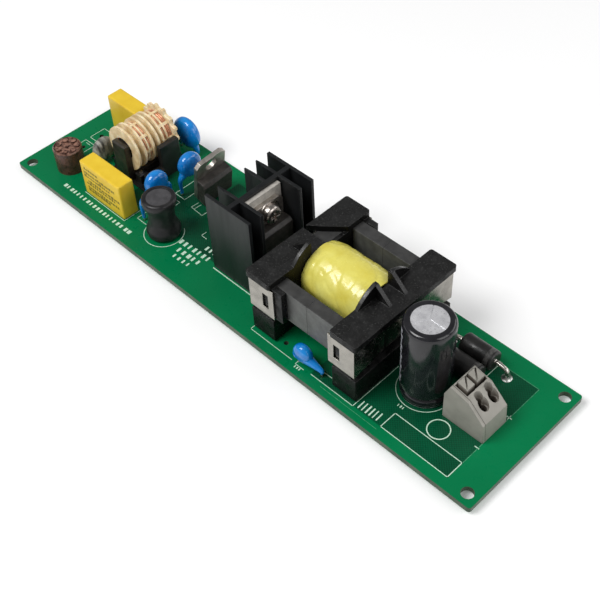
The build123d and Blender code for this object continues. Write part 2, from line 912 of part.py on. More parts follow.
with BuildPart() as screw_washer:
    with BuildSketch(screw_plane) as ring:
        Circle(washer_radius)
        Circle(screw_radius + washer_clearance, mode=Mode.SUBTRACT)
    extrude(amount=washer_thickness)
save(screw_washer, "screw_washer")

with BuildPart() as heatsink_screw:
    with BuildSketch(screw_plane.offset(washer_thickness)) as head:
        Circle(screw_head_radius)
    extrude(amount=screw_head_height)
    fillet(heatsink_screw.edges().group_by(Axis.X)[-1], screw_rounding)
    with BuildSketch(screw_plane.offset(washer_thickness + screw_head_height)) as cross:
        Rectangle(screw_recess_length, screw_recess)
        Rectangle(screw_recess, screw_recess_length)
    extrude(amount=-screw_recess_depth, mode=Mode.SUBTRACT)
    with BuildSketch(screw_plane.offset(washer_thickness)) as shank:
        Circle(screw_radius)
    extrude(amount=-washer_thickness - screw_grip)
save(heatsink_screw, "heatsink_screw")

# Transformer

core_middle = core_bottom + core_depth / 2
core_top = core_bottom + core_depth
window_half_length = core_end - core_yoke
window_half_width = core_width / 2 - core_leg
tube_bore = core_post_radius + former_fit
tube_radius = tube_bore + former_wall
flange_face = window_half_length - former_fit
flange_back = flange_face - former_flange
flange_radius = window_half_width - former_fit
cap_bottom = core_top + former_fit
cap_top = cap_bottom + cap_thickness
cap_reach = core_end + cap_end_overhang
cap_width = 2 * (core_side + cap_side_overhang)
rail_reach = core_end + rail_end_overhang
rail_width = 2 * (core_side + rail_side_overhang)
trafo_plane = Plane(origin=(*trafo_at, top + core_middle), x_dir=(0, 1, 0), z_dir=(1, 0, 0))

for label, side in (("transformer_core_left", -1), ("transformer_core_right", 1)):
    with BuildPart() as core:
        with BuildSketch(Plane.XY.offset(top + core_bottom)) as plan:
            with Locations((trafo_at[0] + side * (core_end / 2 + core_glue / 4), trafo_at[1])):
                Rectangle(core_end - core_glue / 2, core_width)
            with Locations((trafo_at[0] + side * window_half_length / 2, trafo_at[1])):
                Rectangle(window_half_length, 2 * window_half_width, mode=Mode.SUBTRACT)
        extrude(amount=core_depth)
        with BuildSketch(trafo_plane.offset(side * core_glue / 2)) as post:
            Circle(core_post_radius)
        extrude(amount=side * window_half_length)
    save(core, label)


def end_plate(side, inner, outer, width, low, high, corner=0.0):
    """A plate or rail across the bobbin at one end, from two distances off its middle."""
    with BuildSketch(Plane.XY.offset(top + low)) as plan:
        with Locations((trafo_at[0] + side * (inner + outer) / 2, trafo_at[1])):
            if corner:
                RectangleRounded(outer - inner, width, corner)
            else:
                Rectangle(outer - inner, width)
    extrude(plan.sketch, amount=high - low)


def wire_guide(side, y):
    """A rib that leans on the round flange beside the gap where the wires come out."""
    rise = sqrt(flange_radius**2 - (abs(y) + guide_width / 2) ** 2)
    with BuildSketch(Plane.XZ.offset(-(trafo_at[1] + y + guide_width / 2))) as rib:
        with BuildLine() as line:
            Polyline(
                (trafo_at[0] + side * flange_back, top + cap_bottom),
                (trafo_at[0] + side * flange_back, top + core_middle + rise),
                (trafo_at[0] + side * flange_face, top + core_middle + rise),
                (trafo_at[0] + side * (flange_face + guide_length), top + cap_top),
                (trafo_at[0] + side * (flange_face + guide_length), top + cap_bottom),
                close=True,
            )
        make_face(line.edges())
    extrude(rib.sketch, amount=guide_width)


with BuildPart() as transformer_bobbin:
    with BuildSketch(trafo_plane.offset(-flange_face)) as tube:
        Circle(tube_radius)
    extrude(amount=2 * flange_face)
    for side, guides in ((-1, left_guides), (1, right_guides)):
        with BuildSketch(trafo_plane.offset(side * flange_back)) as arch:
            Circle(flange_radius)
        extrude(amount=side * former_flange)
        gap_end = guides[-1] if len(guides) > 1 else flange_radius
        flange_x = trafo_at[0] + side * (flange_back + flange_face) / 2
        with Locations((flange_x, trafo_at[1] + guides[0], top + cap_top)):
            Box(
                former_flange,
                gap_end - guides[0],
                flange_radius,
                align=(Align.CENTER, Align.MIN, Align.MIN),
                mode=Mode.SUBTRACT,
            )
        for y in guides:
            wire_guide(side, y)
        end_plate(side, flange_back, flange_face, 2 * flange_radius, rail_foot, cap_top)
        end_plate(side, flange_back, rail_reach, rail_width, rail_foot, rail_top)
        end_plate(side, flange_back, cap_reach, cap_width, cap_bottom, cap_top, cap_corner)
        with Locations(
            *[
                (
                    trafo_at[0] + side * (core_end - cheek_length / 2),
                    trafo_at[1] + across * (core_side - cheek_thickness / 2),
                    top + rail_foot,
                )
                for across in (-1, 1)
            ]
        ):
            Box(
                cheek_length,
                cheek_thickness,
                cap_bottom - rail_foot,
                align=(Align.CENTER, Align.CENTER, Align.MIN),
            )
    for across in (-1, 1):
        lip_y = trafo_at[1] + across * (core_side - cheek_thickness / 2)
        with Locations((trafo_at[0] - core_end + cheek_length, lip_y, top + core_bottom)):
            Box(
                cheek_lip,
                cheek_thickness,
                cap_bottom - core_bottom,
                align=(Align.MIN, Align.CENTER, Align.MIN),
            )
    with BuildSketch(Plane.XY.offset(top + cap_bottom)) as notch:
        with Locations(trafo_at):
            Polygon(
                (-cap_reach, notch_straight),
                (-flange_back, notch_straight),
                (-flange_back, notch_wide),
                (-cap_reach + notch_knee[0], notch_knee[1]),
                (-cap_reach, notch_narrow),
                align=None,
            )
    extrude(amount=flange_radius, mode=Mode.SUBTRACT)
    with BuildSketch(trafo_plane.offset(-flange_face)) as bore:
        Circle(tube_bore)
    extrude(amount=2 * flange_face, mode=Mode.SUBTRACT)
    with BuildSketch(Plane.XY.offset(top + rail_foot)) as bores:
        with Locations(*trafo_leads):
            Rectangle(pin_side, pin_side)
    extrude(amount=rail_top / 2, mode=Mode.SUBTRACT)
save(transformer_bobbin, "transformer_bobbin")

square_pins(trafo_leads, "transformer_pins", rail_foot + rail_top / 2)

coil_half = flange_back - former_fit
for label, inner, outer in (
    ("transformer_winding", tube_radius, coil_radius),
    ("transformer_tape", coil_radius, coil_radius + tape_wall),
):
    with BuildPart() as winding:
        with BuildSketch(trafo_plane.offset(-coil_half)) as ring:
            Circle(outer)
            Circle(inner, mode=Mode.SUBTRACT)
        extrude(amount=2 * coil_half)
    save(winding, label)

# Spring clips, bowed so that only their middles press on the cores

clip_side = core_side + clip_gap
clip_end = core_end + clip_bow
clip_tip = clip_end - clip_arm


def clip_outline(side, inset):
    """Corners of a clip in plan, on its outer face or one thickness inside it."""
    corners = (
        (clip_tip, clip_side + clip_thickness - inset),
        (clip_end - inset, clip_side + clip_thickness - inset),
        (core_end + clip_gap + clip_thickness - inset, clip_flat),
    )
    return [(side * x, y) for x, y in corners] + [(side * x, -y) for x, y in reversed(corners)]


for label, side in (("core_clip_left", -1), ("core_clip_right", 1)):
    with BuildPart() as clip:
        with BuildSketch(Plane.XY.offset(top + core_bottom)) as plan:
            with Locations(trafo_at):
                Polygon(*clip_outline(side, 0), align=None)
                Polygon(*clip_outline(side, clip_thickness), align=None, mode=Mode.SUBTRACT)
        extrude(amount=core_depth)
        with BuildSketch(Plane.XZ.offset(-trafo_at[1])) as slot:
            with Locations((trafo_at[0] + side * (clip_tip + clip_slot_set), top + core_middle)):
                Rectangle(clip_slot_width, clip_slot_height)
        extrude(amount=core_width, both=True, mode=Mode.SUBTRACT)
    save(clip, label)

# Electrolytic capacitor

can_plane = Plane.XZ.offset(-can_at[1])
can_axis = Axis((*can_at, 0), (0, 0, 1))

with BuildPart() as electrolytic_can:
    with BuildSketch(can_plane) as section:
        with BuildLine() as line:
            Polyline(
                (can_at[0], top + can_top),
                (can_at[0], top + can_foot + bung_height),
                (can_at[0] + bung_radius, top + can_foot + bung_height),
                (can_at[0] + bung_radius, top + can_foot),
                (can_at[0] + can_radius, top + can_foot),
                (can_at[0] + can_radius, top + can_groove_height - can_groove_radius),
                (can_at[0] + can_radius - can_groove_radius, top + can_groove_height),
                (can_at[0] + can_radius, top + can_groove_height + can_groove_radius),
                (can_at[0] + can_radius, top + can_top - can_rounding),
                (can_at[0] + can_radius - can_rounding, top + can_top),
                close=True,
            )
        make_face()
    revolve(axis=can_axis)
    with BuildSketch(Plane.XY.offset(top + can_top)) as scores:
        with Locations(can_at):
            with PolarLocations(sleeve_window_radius / 2, can_vent_scores):
                Rectangle(sleeve_window_radius, score_width)
    extrude(amount=-score_depth, mode=Mode.SUBTRACT)
save(electrolytic_can, "electrolytic_can")

with BuildPart() as electrolytic_sleeve:
    with BuildSketch(can_plane) as section:
        with BuildLine() as line:
            Polyline(
                (can_at[0] + can_radius, top + can_foot),
                (can_at[0] + can_radius + sleeve_wall, top + can_foot),
                (can_at[0] + can_radius + sleeve_wall, top + can_top - can_rounding),
                (can_at[0] + can_radius - can_rounding, top + can_top + sleeve_wall),
                (can_at[0] + sleeve_window_radius, top + can_top + sleeve_wall),
                (can_at[0] + sleeve_window_radius, top + can_top),
                (can_at[0] + can_radius - can_rounding, top + can_top),
                (can_at[0] + can_radius, top + can_top - can_rounding),
                close=True,
            )
        make_face()
    revolve(axis=can_axis)
save(electrolytic_sleeve, "electrolytic_sleeve")

with BuildPart() as electrolytic_bung:
    with BuildSketch(Plane.XY.offset(top)) as disc:
        with Locations(can_at):
            Circle(bung_radius)
        with Locations(*can_leads):
            Circle(wire_radius, mode=Mode.SUBTRACT)
    extrude(amount=can_foot + bung_height)
save(electrolytic_bung, "electrolytic_bung")

straight_wires(can_leads, "electrolytic_leads", wire_radius, can_foot + bung_height)

# Diodes

for label, place in diode_places.items():
    with BuildPart() as body:
        with BuildSketch(Plane.YZ.offset(place[0] - diode_length / 2)) as face:
            with Locations((place[1], top + diode_axis)):
                Circle(diode_radius)
        extrude(amount=diode_length)
        chamfer(body.edges().filter_by(GeomType.CIRCLE), diode_edge)
    save(body, label)

with BuildPart() as diode_wires:
    for place in diode_places.values():
        for side in (-1, 1):
            with BuildLine() as path:
                FilletPolyline(
                    (place[0] + side * diode_length / 2, place[1], top + diode_axis),
                    (place[0] + side * diode_lead_pitch / 2, place[1], top + diode_axis),
                    (place[0] + side * diode_lead_pitch / 2, place[1], 0),
                    radius=diode_bend,
                )
            with BuildSketch(
                Plane(
                    origin=(place[0] + side * diode_length / 2, place[1], top + diode_axis),
                    z_dir=(side, 0, 0),
                )
            ) as section:
                Circle(heavy_wire_radius)
            sweep(path=path.line)
save(diode_wires, "diode_leads")

# Terminal block

term_inside = term_front + term_plate
term_points = [(term_left + x, top + z) for x, z in term_outline]


def shoulder_height(x):
    """Height of the top shoulder above a distance from the left face."""
    (x0, z0), (x1, z1) = term_outline[2], term_outline[3]
    return z0 + (x - x0) * (z1 - z0) / (x1 - x0)


def term_slice(front, depth):
    """The block's side outline between two places across the board."""
    with BuildSketch(Plane.XZ.offset(-(front + depth))) as outline:
        with BuildLine() as line:
            Polyline(*term_points, close=True)
        make_face(line.edges())
    return outline.sketch


with BuildPart() as terminal_housing:
    extrude(term_slice(term_inside, term_width), amount=term_width)
    for y in poles:
        with Locations((term_left + cavity_left, y, top)):
            Box(
                cavity_right - cavity_left,
                cavity_width,
                cavity_height,
                align=(Align.MIN, Align.CENTER, Align.MIN),
                mode=Mode.SUBTRACT,
            )
        with Locations((term_left + button_left - button_clearance, y, top)):
            Box(
                button_length + 2 * button_clearance,
                button_width + 2 * button_clearance,
                2 * term_outline[2][1],
                align=(Align.MIN, Align.CENTER, Align.MIN),
                mode=Mode.SUBTRACT,
            )
        well_left = term_left + button_left - button_clearance
        with Locations((well_left, y - button_width / 2 - well_front, top + well_floor)):
            Box(
                button_length + button_clearance + well_right,
                button_width + button_clearance + well_front,
                term_outline[2][1],
                align=(Align.MIN, Align.MIN, Align.MIN),
                mode=Mode.SUBTRACT,
            )
    with BuildSketch(Plane.XY.offset(top + cavity_height)) as entries:
        with Locations(*[(term_left + entry_x, y) for y in poles]):
            Circle(entry_radius)
        with Locations(*[(term_left + entry_throat_x, y) for y in poles]):
            Circle(entry_throat_radius)
        with Locations(*[(term_left + test_slot_x, y) for y in poles]):
            Rectangle(*test_slot)
    extrude(amount=cavity_height + term_outline[2][1], mode=Mode.SUBTRACT)
save(terminal_housing, "terminal_housing")

with BuildPart() as terminal_end_plate:
    extrude(term_slice(term_front, term_plate), amount=term_plate)
save(terminal_end_plate, "terminal_end_plate")

for label, y in (("push_button_front", poles[0]), ("push_button_rear", poles[1])):
    left = term_left + button_left
    right = left + button_length
    with BuildPart() as button:
        with BuildSketch(Plane.XZ.offset(-(y + button_width / 2))) as side_view:
            with BuildLine() as line:
                Polyline(
                    (left, top + button_bottom),
                    (right, top + button_bottom),
                    (right, top + shoulder_height(button_left + button_length) + button_proud),
                    (left, top + shoulder_height(button_left) + button_proud),
                    close=True,
                )
            make_face()
        extrude(amount=button_width)
        slot_middle = button_left + button_length / 2
        slot_floor = shoulder_height(slot_middle) + button_proud - button_slot_depth
        with BuildSketch(Plane.XY.offset(top + slot_floor)) as slot:
            with Locations((term_left + slot_middle, y)):
                Rectangle(2 * button_length, button_slot, rotation=button_slot_turn)
        extrude(amount=button_length, mode=Mode.SUBTRACT)
    save(button, label)

with BuildPart() as terminal_clamps:
    for y in poles:
        with BuildSketch(Plane.XZ.offset(-(y + clamp_width / 2))) as strip:
            with Locations((term_left + cavity_left + clamp_thickness, top + clamp_lift)):
                Rectangle(clamp_length, clamp_thickness, align=(Align.MIN, Align.MIN))
            with Locations((term_left + cavity_left + clamp_thickness + clamp_length, top + clamp_lift)):
                Rectangle(clamp_thickness, clamp_height, align=(Align.MAX, Align.MIN))
            with Locations(
                (
                    term_left + cavity_left + clamp_thickness + clamp_length,
                    top + clamp_lift + clamp_height,
                )
            ):
                Rectangle(clamp_return, clamp_thickness, align=(Align.MAX, Align.MAX))
        extrude(amount=clamp_width)
save(terminal_clamps, "terminal_clamps")

square_pins(term_leads, "terminal_pins", clamp_lift)
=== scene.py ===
import math
import random

import bmesh
import bpy
from mathutils import Matrix, Vector, noise


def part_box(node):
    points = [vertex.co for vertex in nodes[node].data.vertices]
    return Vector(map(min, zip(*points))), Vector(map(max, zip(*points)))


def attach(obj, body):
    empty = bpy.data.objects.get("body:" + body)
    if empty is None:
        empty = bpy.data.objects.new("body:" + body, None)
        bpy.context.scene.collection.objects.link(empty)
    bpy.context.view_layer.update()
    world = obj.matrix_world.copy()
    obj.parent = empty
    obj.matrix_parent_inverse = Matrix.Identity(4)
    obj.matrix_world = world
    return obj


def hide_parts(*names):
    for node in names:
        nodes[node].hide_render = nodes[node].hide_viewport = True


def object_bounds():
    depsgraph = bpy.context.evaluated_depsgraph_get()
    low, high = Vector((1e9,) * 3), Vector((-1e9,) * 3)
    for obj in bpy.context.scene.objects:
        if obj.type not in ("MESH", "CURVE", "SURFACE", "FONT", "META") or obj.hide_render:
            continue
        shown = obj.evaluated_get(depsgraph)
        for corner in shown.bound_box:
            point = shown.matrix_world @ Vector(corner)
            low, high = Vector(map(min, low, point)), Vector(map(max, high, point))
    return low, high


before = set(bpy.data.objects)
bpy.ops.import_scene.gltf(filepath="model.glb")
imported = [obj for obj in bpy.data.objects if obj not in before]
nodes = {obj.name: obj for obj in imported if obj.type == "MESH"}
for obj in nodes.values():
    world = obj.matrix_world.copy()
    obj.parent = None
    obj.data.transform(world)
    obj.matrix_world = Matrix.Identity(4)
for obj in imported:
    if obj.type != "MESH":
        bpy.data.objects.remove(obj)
cad_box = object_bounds()

# Sizes are in metres. MM turns the millimetres of a drawing into them.
MM = 0.001
BOARD = "board"
BUTTONS = ("push_button_front", "push_button_rear")
X_AXIS, Y_AXIS, Z_AXIS = (1, 0, 0), (0, 1, 0), (0, 0, 1)
board_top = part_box("circuit_board")[1].z
rng = random.Random(7)


# Materials

# Rays for rounded edges and for the shade in hollows
BEVEL_SAMPLES = 6
HOLLOW_SAMPLES = 8

# Places of the Mix node's colour sockets, which share their names with others
MIX_FIRST, MIX_SECOND, MIX_RESULT = 6, 7, 2


class Graph:
    """A principled material with a few helpers for its procedural inputs."""

    def __init__(self, name, color, roughness, metallic=0.0):
        self.material = bpy.data.materials.new(name)
        self.material.use_nodes = True
        self.tree = self.material.node_tree
        self.shader = self.tree.nodes["Principled BSDF"]
        self.shader.inputs["Base Color"].default_value = (*color, 1.0)
        self.shader.inputs["Roughness"].default_value = roughness
        self.shader.inputs["Metallic"].default_value = metallic
        self.place = self.tree.nodes.new("ShaderNodeTexCoord").outputs["Object"]

    def add(self, kind, **values):
        """A node with some of its inputs set by name."""
        node = self.tree.nodes.new(kind)
        for key, value in values.items():
            node.inputs[key.replace("_", " ")].default_value = value
        return node

    def link(self, source, target):
        self.tree.links.new(source, target)

    def paint(self, color):
        """Base colour from a socket."""
        self.link(color, self.shader.inputs["Base Color"])

    def noise(self, scale, detail=3.0, stretch=None, roughness=0.5):
        """Noise in the object's own coordinates, if asked stretched along an axis."""
        texture = self.add("ShaderNodeTexNoise", Scale=scale, Detail=detail, Roughness=roughness)
        if stretch is None:
            self.link(self.place, texture.inputs["Vector"])
        else:
            mapping = self.add("ShaderNodeMapping", Scale=stretch)
            self.link(self.place, mapping.inputs["Vector"])
            self.link(mapping.outputs["Vector"], texture.inputs["Vector"])
        return texture.outputs["Fac"]

    def ramp(self, value, stops):
        """Colours or greys against a value from 0 to 1."""
        node = self.tree.nodes.new("ShaderNodeValToRGB")
        self.link(value, node.inputs["Fac"])
        elements = node.color_ramp.elements
        while len(elements) < len(stops):
            elements.new(0.5)
        for element, (position, color) in zip(elements, stops):
            element.position = position
            shade = color if isinstance(color, tuple) else (color, color, color)
            element.color = (*shade, 1.0)
        return node.outputs["Color"]

    def mottle(self, dark, light, scale, low=0.35, high=0.65, detail=3.0, stretch=None):
        """Base colour drifting between two colours."""
        fac = self.noise(scale, detail, stretch)
        self.paint(self.ramp(fac, [(low, dark), (high, light)]))

    def patchy_gloss(self, low, high, scale, detail=4.0, stretch=None):
        """Roughness drifting between two values."""
        fac = self.noise(scale, detail, stretch)
        self.link(self.ramp(fac, [(0.35, low), (0.65, high)]), self.shader.inputs["Roughness"])

    def bumpy(self, scale, distance, strength=0.3, detail=4.0, stretch=None, edge=0.0):
        """Fine relief from noise, over edges that catch the light as if rounded."""
        bump = self.add("ShaderNodeBump", Strength=strength, Distance=distance)
        self.link(self.noise(scale, detail, stretch), bump.inputs["Height"])
        self.link(bump.outputs["Normal"], self.shader.inputs["Normal"])
        if edge:
            rounding = self.add("ShaderNodeBevel", Radius=edge)
            rounding.samples = BEVEL_SAMPLES
            self.link(rounding.outputs["Normal"], bump.inputs["Normal"])

    def remap(self, value, low, high, first=0.0, last=1.0):
        """A value between low and high turned into one between first and last."""
        node = self.add("ShaderNodeMapRange", From_Min=low, From_Max=high, To_Min=first, To_Max=last)
        self.link(value, node.inputs["Value"])
        return node.outputs["Result"]

    def join(self, operation, *values):
        """A math node's result for one or two values."""
        node = self.tree.nodes.new("ShaderNodeMath")
        node.operation = operation
        for value, socket in zip(values, node.inputs):
            self.link(value, socket)
        return node.outputs["Value"]

    def axis(self, vector, name):
        """One axis of a vector."""
        split = self.tree.nodes.new("ShaderNodeSeparateXYZ")
        self.link(vector, split.inputs["Vector"])
        return split.outputs[name]

    def span(self, axis, low, high, soft):
        """1 between two coordinates of the object, 0 outside them."""
        place = self.axis(self.place, axis)
        rise = self.remap(place, low - soft, low + soft)
        fall = self.remap(place, high - soft, high + soft, 1.0, 0.0)
        return self.join("MULTIPLY", rise, fall)

    def upward(self, low=0.3, high=0.7, either=False):
        """1 on faces that look up, and with either on those that look down, else 0."""
        normal = self.tree.nodes.new("ShaderNodeNewGeometry").outputs["Normal"]
        height = self.axis(normal, "Z")
        return self.remap(self.join("ABSOLUTE", height) if either else height, low, high)

    def blend(self, fac, first, second, kind="MIX"):
        """Two colours mixed by a number or socket, each given as a colour or a socket."""
        node = self.tree.nodes.new("ShaderNodeMix")
        node.data_type = "RGBA"
        node.blend_type = kind
        if isinstance(fac, float):
            node.inputs["Factor"].default_value = fac
        else:
            self.link(fac, node.inputs["Factor"])
        for value, place in ((first, MIX_FIRST), (second, MIX_SECOND)):
            if isinstance(value, tuple):
                node.inputs[place].default_value = (*value, 1.0)
            else:
                self.link(value, node.inputs[place])
        return node.outputs[MIX_RESULT]

    def set(self, **values):
        """Some of the shader's own values, by name."""
        for key, value in values.items():
            self.shader.inputs[key.replace("_", " ")].default_value = value


# Areas of the board with no full copper pour to brighten the green: their left and
# right sides, front and back, in millimetres
DARK_AREAS = (
    (33.5, 76.3, -18.0, 15.6),
    (-30.0, 33.5, -9.0, 17.0),
    (-50.0, -27.5, -8.5, 12.0),
)
AREA_SOFTNESS = 0.0002
HATCH_SCALE = 2600.0
HATCH_DARK = (0.80, 0.80, 0.80, 1.0)
HATCH_LIGHT = (1.25, 1.25, 1.25, 1.0)


def dark_areas(g):
    """1 in the areas that have no full pour, 0 outside them."""
    found = None
    for left, right, front, back in DARK_AREAS:
        across = g.span("X", left * MM, right * MM, AREA_SOFTNESS)
        deep = g.span("Y", front * MM, back * MM, AREA_SOFTNESS)
        area = g.join("MULTIPLY", across, deep)
        found = area if found is None else g.join("MAXIMUM", found, area)
    return found


def solder_mask():
    """Glossy green mask, bright over copper, darker and finely hatched elsewhere."""
    g = Graph("solder_mask", (0.0, 0.15, 0.05), 0.3)
    bright = g.ramp(g.noise(45.0, 2.0), [(0.2, (0.000, 0.150, 0.050)), (0.8, (0.000, 0.182, 0.064))])
    dark = g.ramp(g.noise(80.0, 3.0), [(0.3, (0.001, 0.052, 0.022)), (0.7, (0.002, 0.084, 0.035))])
    hatch = g.add("ShaderNodeTexChecker", Scale=HATCH_SCALE, Color1=HATCH_DARK, Color2=HATCH_LIGHT)
    g.link(g.place, hatch.inputs["Vector"])
    hatched = g.blend(1.0, dark, hatch.outputs["Color"], "MULTIPLY")
    face = g.blend(dark_areas(g), bright, hatched)
    core = g.ramp(g.noise(300.0, 4.0), [(0.3, (0.030, 0.060, 0.034)), (0.7, (0.085, 0.115, 0.072))])
    g.paint(g.blend(g.upward(0.4, 0.6, either=True), core, face))
    g.patchy_gloss(0.26, 0.38, 500.0)
    g.bumpy(2500.0, 0.00003, 0.15)
    g.set(Specular_IOR_Level=0.16)
    return g.material


def pour_edge():
    """The step at the edge of a copper pour, a paler green line."""
    g = Graph("pour_edge", (0.05, 0.30, 0.15), 0.4)
    g.mottle((0.03, 0.22, 0.10), (0.10, 0.40, 0.22), 1800.0)
    g.bumpy(6000.0, 0.00002, 0.2)
    return g.material


def silk_print():
    """Pale print ink, a little uneven."""
    g = Graph("silk_print", (0.7, 0.8, 0.7), 0.6)
    g.mottle((0.36, 0.62, 0.45), (0.66, 0.82, 0.68), 2500.0, 0.3, 0.6)
    g.bumpy(9000.0, 0.00002, 0.3)
    return g.material


def bright_solder():
    """Solder, bright with duller patches."""
    g = Graph("bright_solder", (0.72, 0.72, 0.71), 0.2, 1.0)
    g.mottle((0.42, 0.42, 0.40), (0.62, 0.62, 0.60), 1200.0)
    g.patchy_gloss(0.28, 0.48, 1500.0)
    g.bumpy(2500.0, 0.00004, 0.25)
    return g.material


def tinned_wire():
    """Tinned leads and pins."""
    g = Graph("tinned_wire", (0.66, 0.64, 0.60), 0.3, 1.0)
    g.mottle((0.50, 0.47, 0.42), (0.78, 0.76, 0.72), 900.0)
    g.patchy_gloss(0.18, 0.42, 1500.0)
    g.bumpy(3000.0, 0.00003, 0.2)
    return g.material


def fuse_plastic():
    """Brown moulding of the fuse, streaked darker."""
    g = Graph("fuse_plastic", (0.10, 0.03, 0.02), 0.35)
    g.mottle((0.026, 0.011, 0.008), (0.11, 0.042, 0.028), 550.0, 0.35, 0.7, 5.0)
    g.patchy_gloss(0.18, 0.42, 900.0)
    g.bumpy(1800.0, 0.0002, 0.4)
    return g.material


def fuse_top():
    """The fuse's cap, its top face worn paler than its side."""
    g = Graph("fuse_top", (0.16, 0.07, 0.05), 0.35)
    side = g.ramp(g.noise(550.0, 5.0), [(0.35, (0.030, 0.013, 0.009)), (0.7, (0.12, 0.050, 0.035))])
    worn = g.ramp(g.noise(900.0, 5.0), [(0.38, (0.055, 0.022, 0.015)), (0.62, (0.30, 0.155, 0.110))])
    g.paint(g.blend(g.upward(), side, worn))
    g.patchy_gloss(0.22, 0.42, 900.0)
    g.bumpy(1800.0, 0.0002, 0.4)
    return g.material


def capacitor_yellow():
    """Yellow moulded box with softly lit edges."""
    g = Graph("capacitor_yellow", (0.85, 0.58, 0.02), 0.35)
    g.mottle((0.72, 0.47, 0.018), (0.80, 0.56, 0.035), 220.0, 0.3, 0.7)
    g.patchy_gloss(0.30, 0.45, 700.0)
    g.bumpy(2500.0, 0.00005, 0.12, edge=0.0005)
    return g.material


def capacitor_print():
    """Dark olive print on the yellow box."""
    g = Graph("capacitor_print", (0.35, 0.28, 0.02), 0.5)
    g.mottle((0.11, 0.080, 0.010), (0.26, 0.195, 0.018), 3000.0)
    g.bumpy(5000.0, 0.00002, 0.2)
    return g.material


def ceramic_blue():
    """Deep blue coat of the discs, dipped and glossy."""
    g = Graph("ceramic_blue", (0.01, 0.11, 0.5), 0.16)
    g.mottle((0.001, 0.135, 0.47), (0.004, 0.230, 0.65), 320.0, 0.3, 0.7)
    g.patchy_gloss(0.10, 0.22, 500.0)
    g.bumpy(500.0, 0.00020, 0.25)
    g.set(Coat_Weight=0.4, Coat_Roughness=0.08)
    return g.material


def thermistor_coat():
    """Black coat with long pale grey streaks, a painted highlight."""
    g = Graph("thermistor_coat", (0.05, 0.05, 0.05), 0.45)
    # Painted highlight: long pale grey streaks across the black coat stand in for glints on its
    # ridges
    g.mottle((0.040, 0.040, 0.036), (0.46, 0.455, 0.40), 900.0, 0.37, 0.62, 5.0, (0.15, 1.0, 0.3))
    g.patchy_gloss(0.3, 0.6, 900.0)
    g.bumpy(1400.0, 0.0003, 0.5)
    return g.material


def bobbin_cream():
    """Cream moulding of the choke's bobbin, browner in places."""
    g = Graph("bobbin_cream", (0.70, 0.58, 0.42), 0.55)
    g.mottle((0.66, 0.49, 0.26), (0.92, 0.79, 0.54), 420.0, 0.35, 0.7, 5.0)
    g.patchy_gloss(0.4, 0.65, 800.0)
    g.bumpy(1500.0, 0.0002, 0.4)
    g.set(Subsurface_Weight=0.15, Subsurface_Radius=(0.002, 0.0012, 0.0006), Subsurface_Scale=0.3)
    return g.material


def enamelled_copper():
    """Copper wire under a pinkish enamel."""
    g = Graph("enamelled_copper", (0.55, 0.28, 0.17), 0.3, 0.4)
    g.mottle((0.50, 0.20, 0.095), (0.90, 0.50, 0.31), 700.0, 0.3, 0.7, 5.0)
    g.patchy_gloss(0.2, 0.45, 900.0)
    g.bumpy(2500.0, 0.00005, 0.2)
    return g.material


def ferrite_painted_sheen():
    """Ferrite, its sides painted paler than its tops as a painted sheen of light."""
    g = Graph("ferrite_painted_sheen", (0.06, 0.06, 0.062), 0.5, 0.1)
    fine = g.noise(500.0, 6.0)
    # Painted sheen: upright faces take the paler colour, faces that look up the darker one
    side = g.ramp(fine, [(0.3, (0.062, 0.064, 0.061)), (0.7, (0.100, 0.103, 0.098))])
    top = g.ramp(fine, [(0.3, (0.030, 0.030, 0.030)), (0.7, (0.052, 0.052, 0.051))])
    g.paint(g.blend(g.upward(), side, top))
    g.patchy_gloss(0.38, 0.52, 1200.0)
    g.bumpy(4000.0, 0.00004, 0.25, edge=0.00025)
    return g.material


def brown_ferrite():
    """The choke's core, darker and browner, with dried varnish."""
    g = Graph("brown_ferrite", (0.02, 0.017, 0.013), 0.45)
    g.mottle((0.010, 0.009, 0.007), (0.040, 0.033, 0.024), 600.0, 0.35, 0.7, 6.0)
    g.patchy_gloss(0.28, 0.5, 900.0)
    g.bumpy(3000.0, 0.00005, 0.3, edge=0.00025)
    return g.material


def black_moulding():
    """Plain black moulding."""
    g = Graph("black_moulding", (0.018, 0.018, 0.018), 0.4)
    g.mottle((0.007, 0.007, 0.007), (0.020, 0.019, 0.018), 350.0, 0.35, 0.75, 6.0)
    g.patchy_gloss(0.28, 0.5, 600.0)
    g.bumpy(1600.0, 0.00008, 0.25, edge=0.0003)
    return g.material


def dusty_black():
    """Black moulding with dust and dried varnish on it."""
    g = Graph("dusty_black", (0.02, 0.02, 0.02), 0.35)
    fine = g.noise(2600.0, 6.0, None, 0.7)
    dusted = g.ramp(fine, [(0.56, (0.005, 0.005, 0.005)), (0.74, (0.085, 0.085, 0.082))])
    wiped = g.ramp(fine, [(0.58, (0.003, 0.003, 0.003)), (0.80, (0.030, 0.030, 0.028))])
    g.paint(g.blend(g.upward(), wiped, dusted))
    g.patchy_gloss(0.18, 0.55, 420.0, 5.0)
    g.bumpy(900.0, 0.00015, 0.3, 6.0, edge=0.0003)
    shine = g.remap(g.upward(), 0.0, 1.0, 0.14, 0.5)
    g.link(shine, g.shader.inputs["Specular IOR Level"])
    return g.material


def shrink_sleeve():
    """The can's thin shrink sleeve, nearly black and glossy."""
    g = Graph("shrink_sleeve", (0.02, 0.02, 0.022), 0.25)
    g.mottle((0.006, 0.006, 0.008), (0.014, 0.014, 0.017), 300.0)
    g.patchy_gloss(0.10, 0.20, 500.0)
    g.bumpy(400.0, 0.00006, 0.2)
    return g.material


def plated_tab():
    """Dull plated tab of a power package."""
    g = Graph("plated_tab", (0.50, 0.46, 0.41), 0.38, 1.0)
    g.mottle((0.38, 0.345, 0.31), (0.60, 0.555, 0.51), 500.0, 0.3, 0.7, 5.0)
    g.patchy_gloss(0.32, 0.5, 700.0)
    g.bumpy(2500.0, 0.00004, 0.2, edge=0.0002)
    return g.material


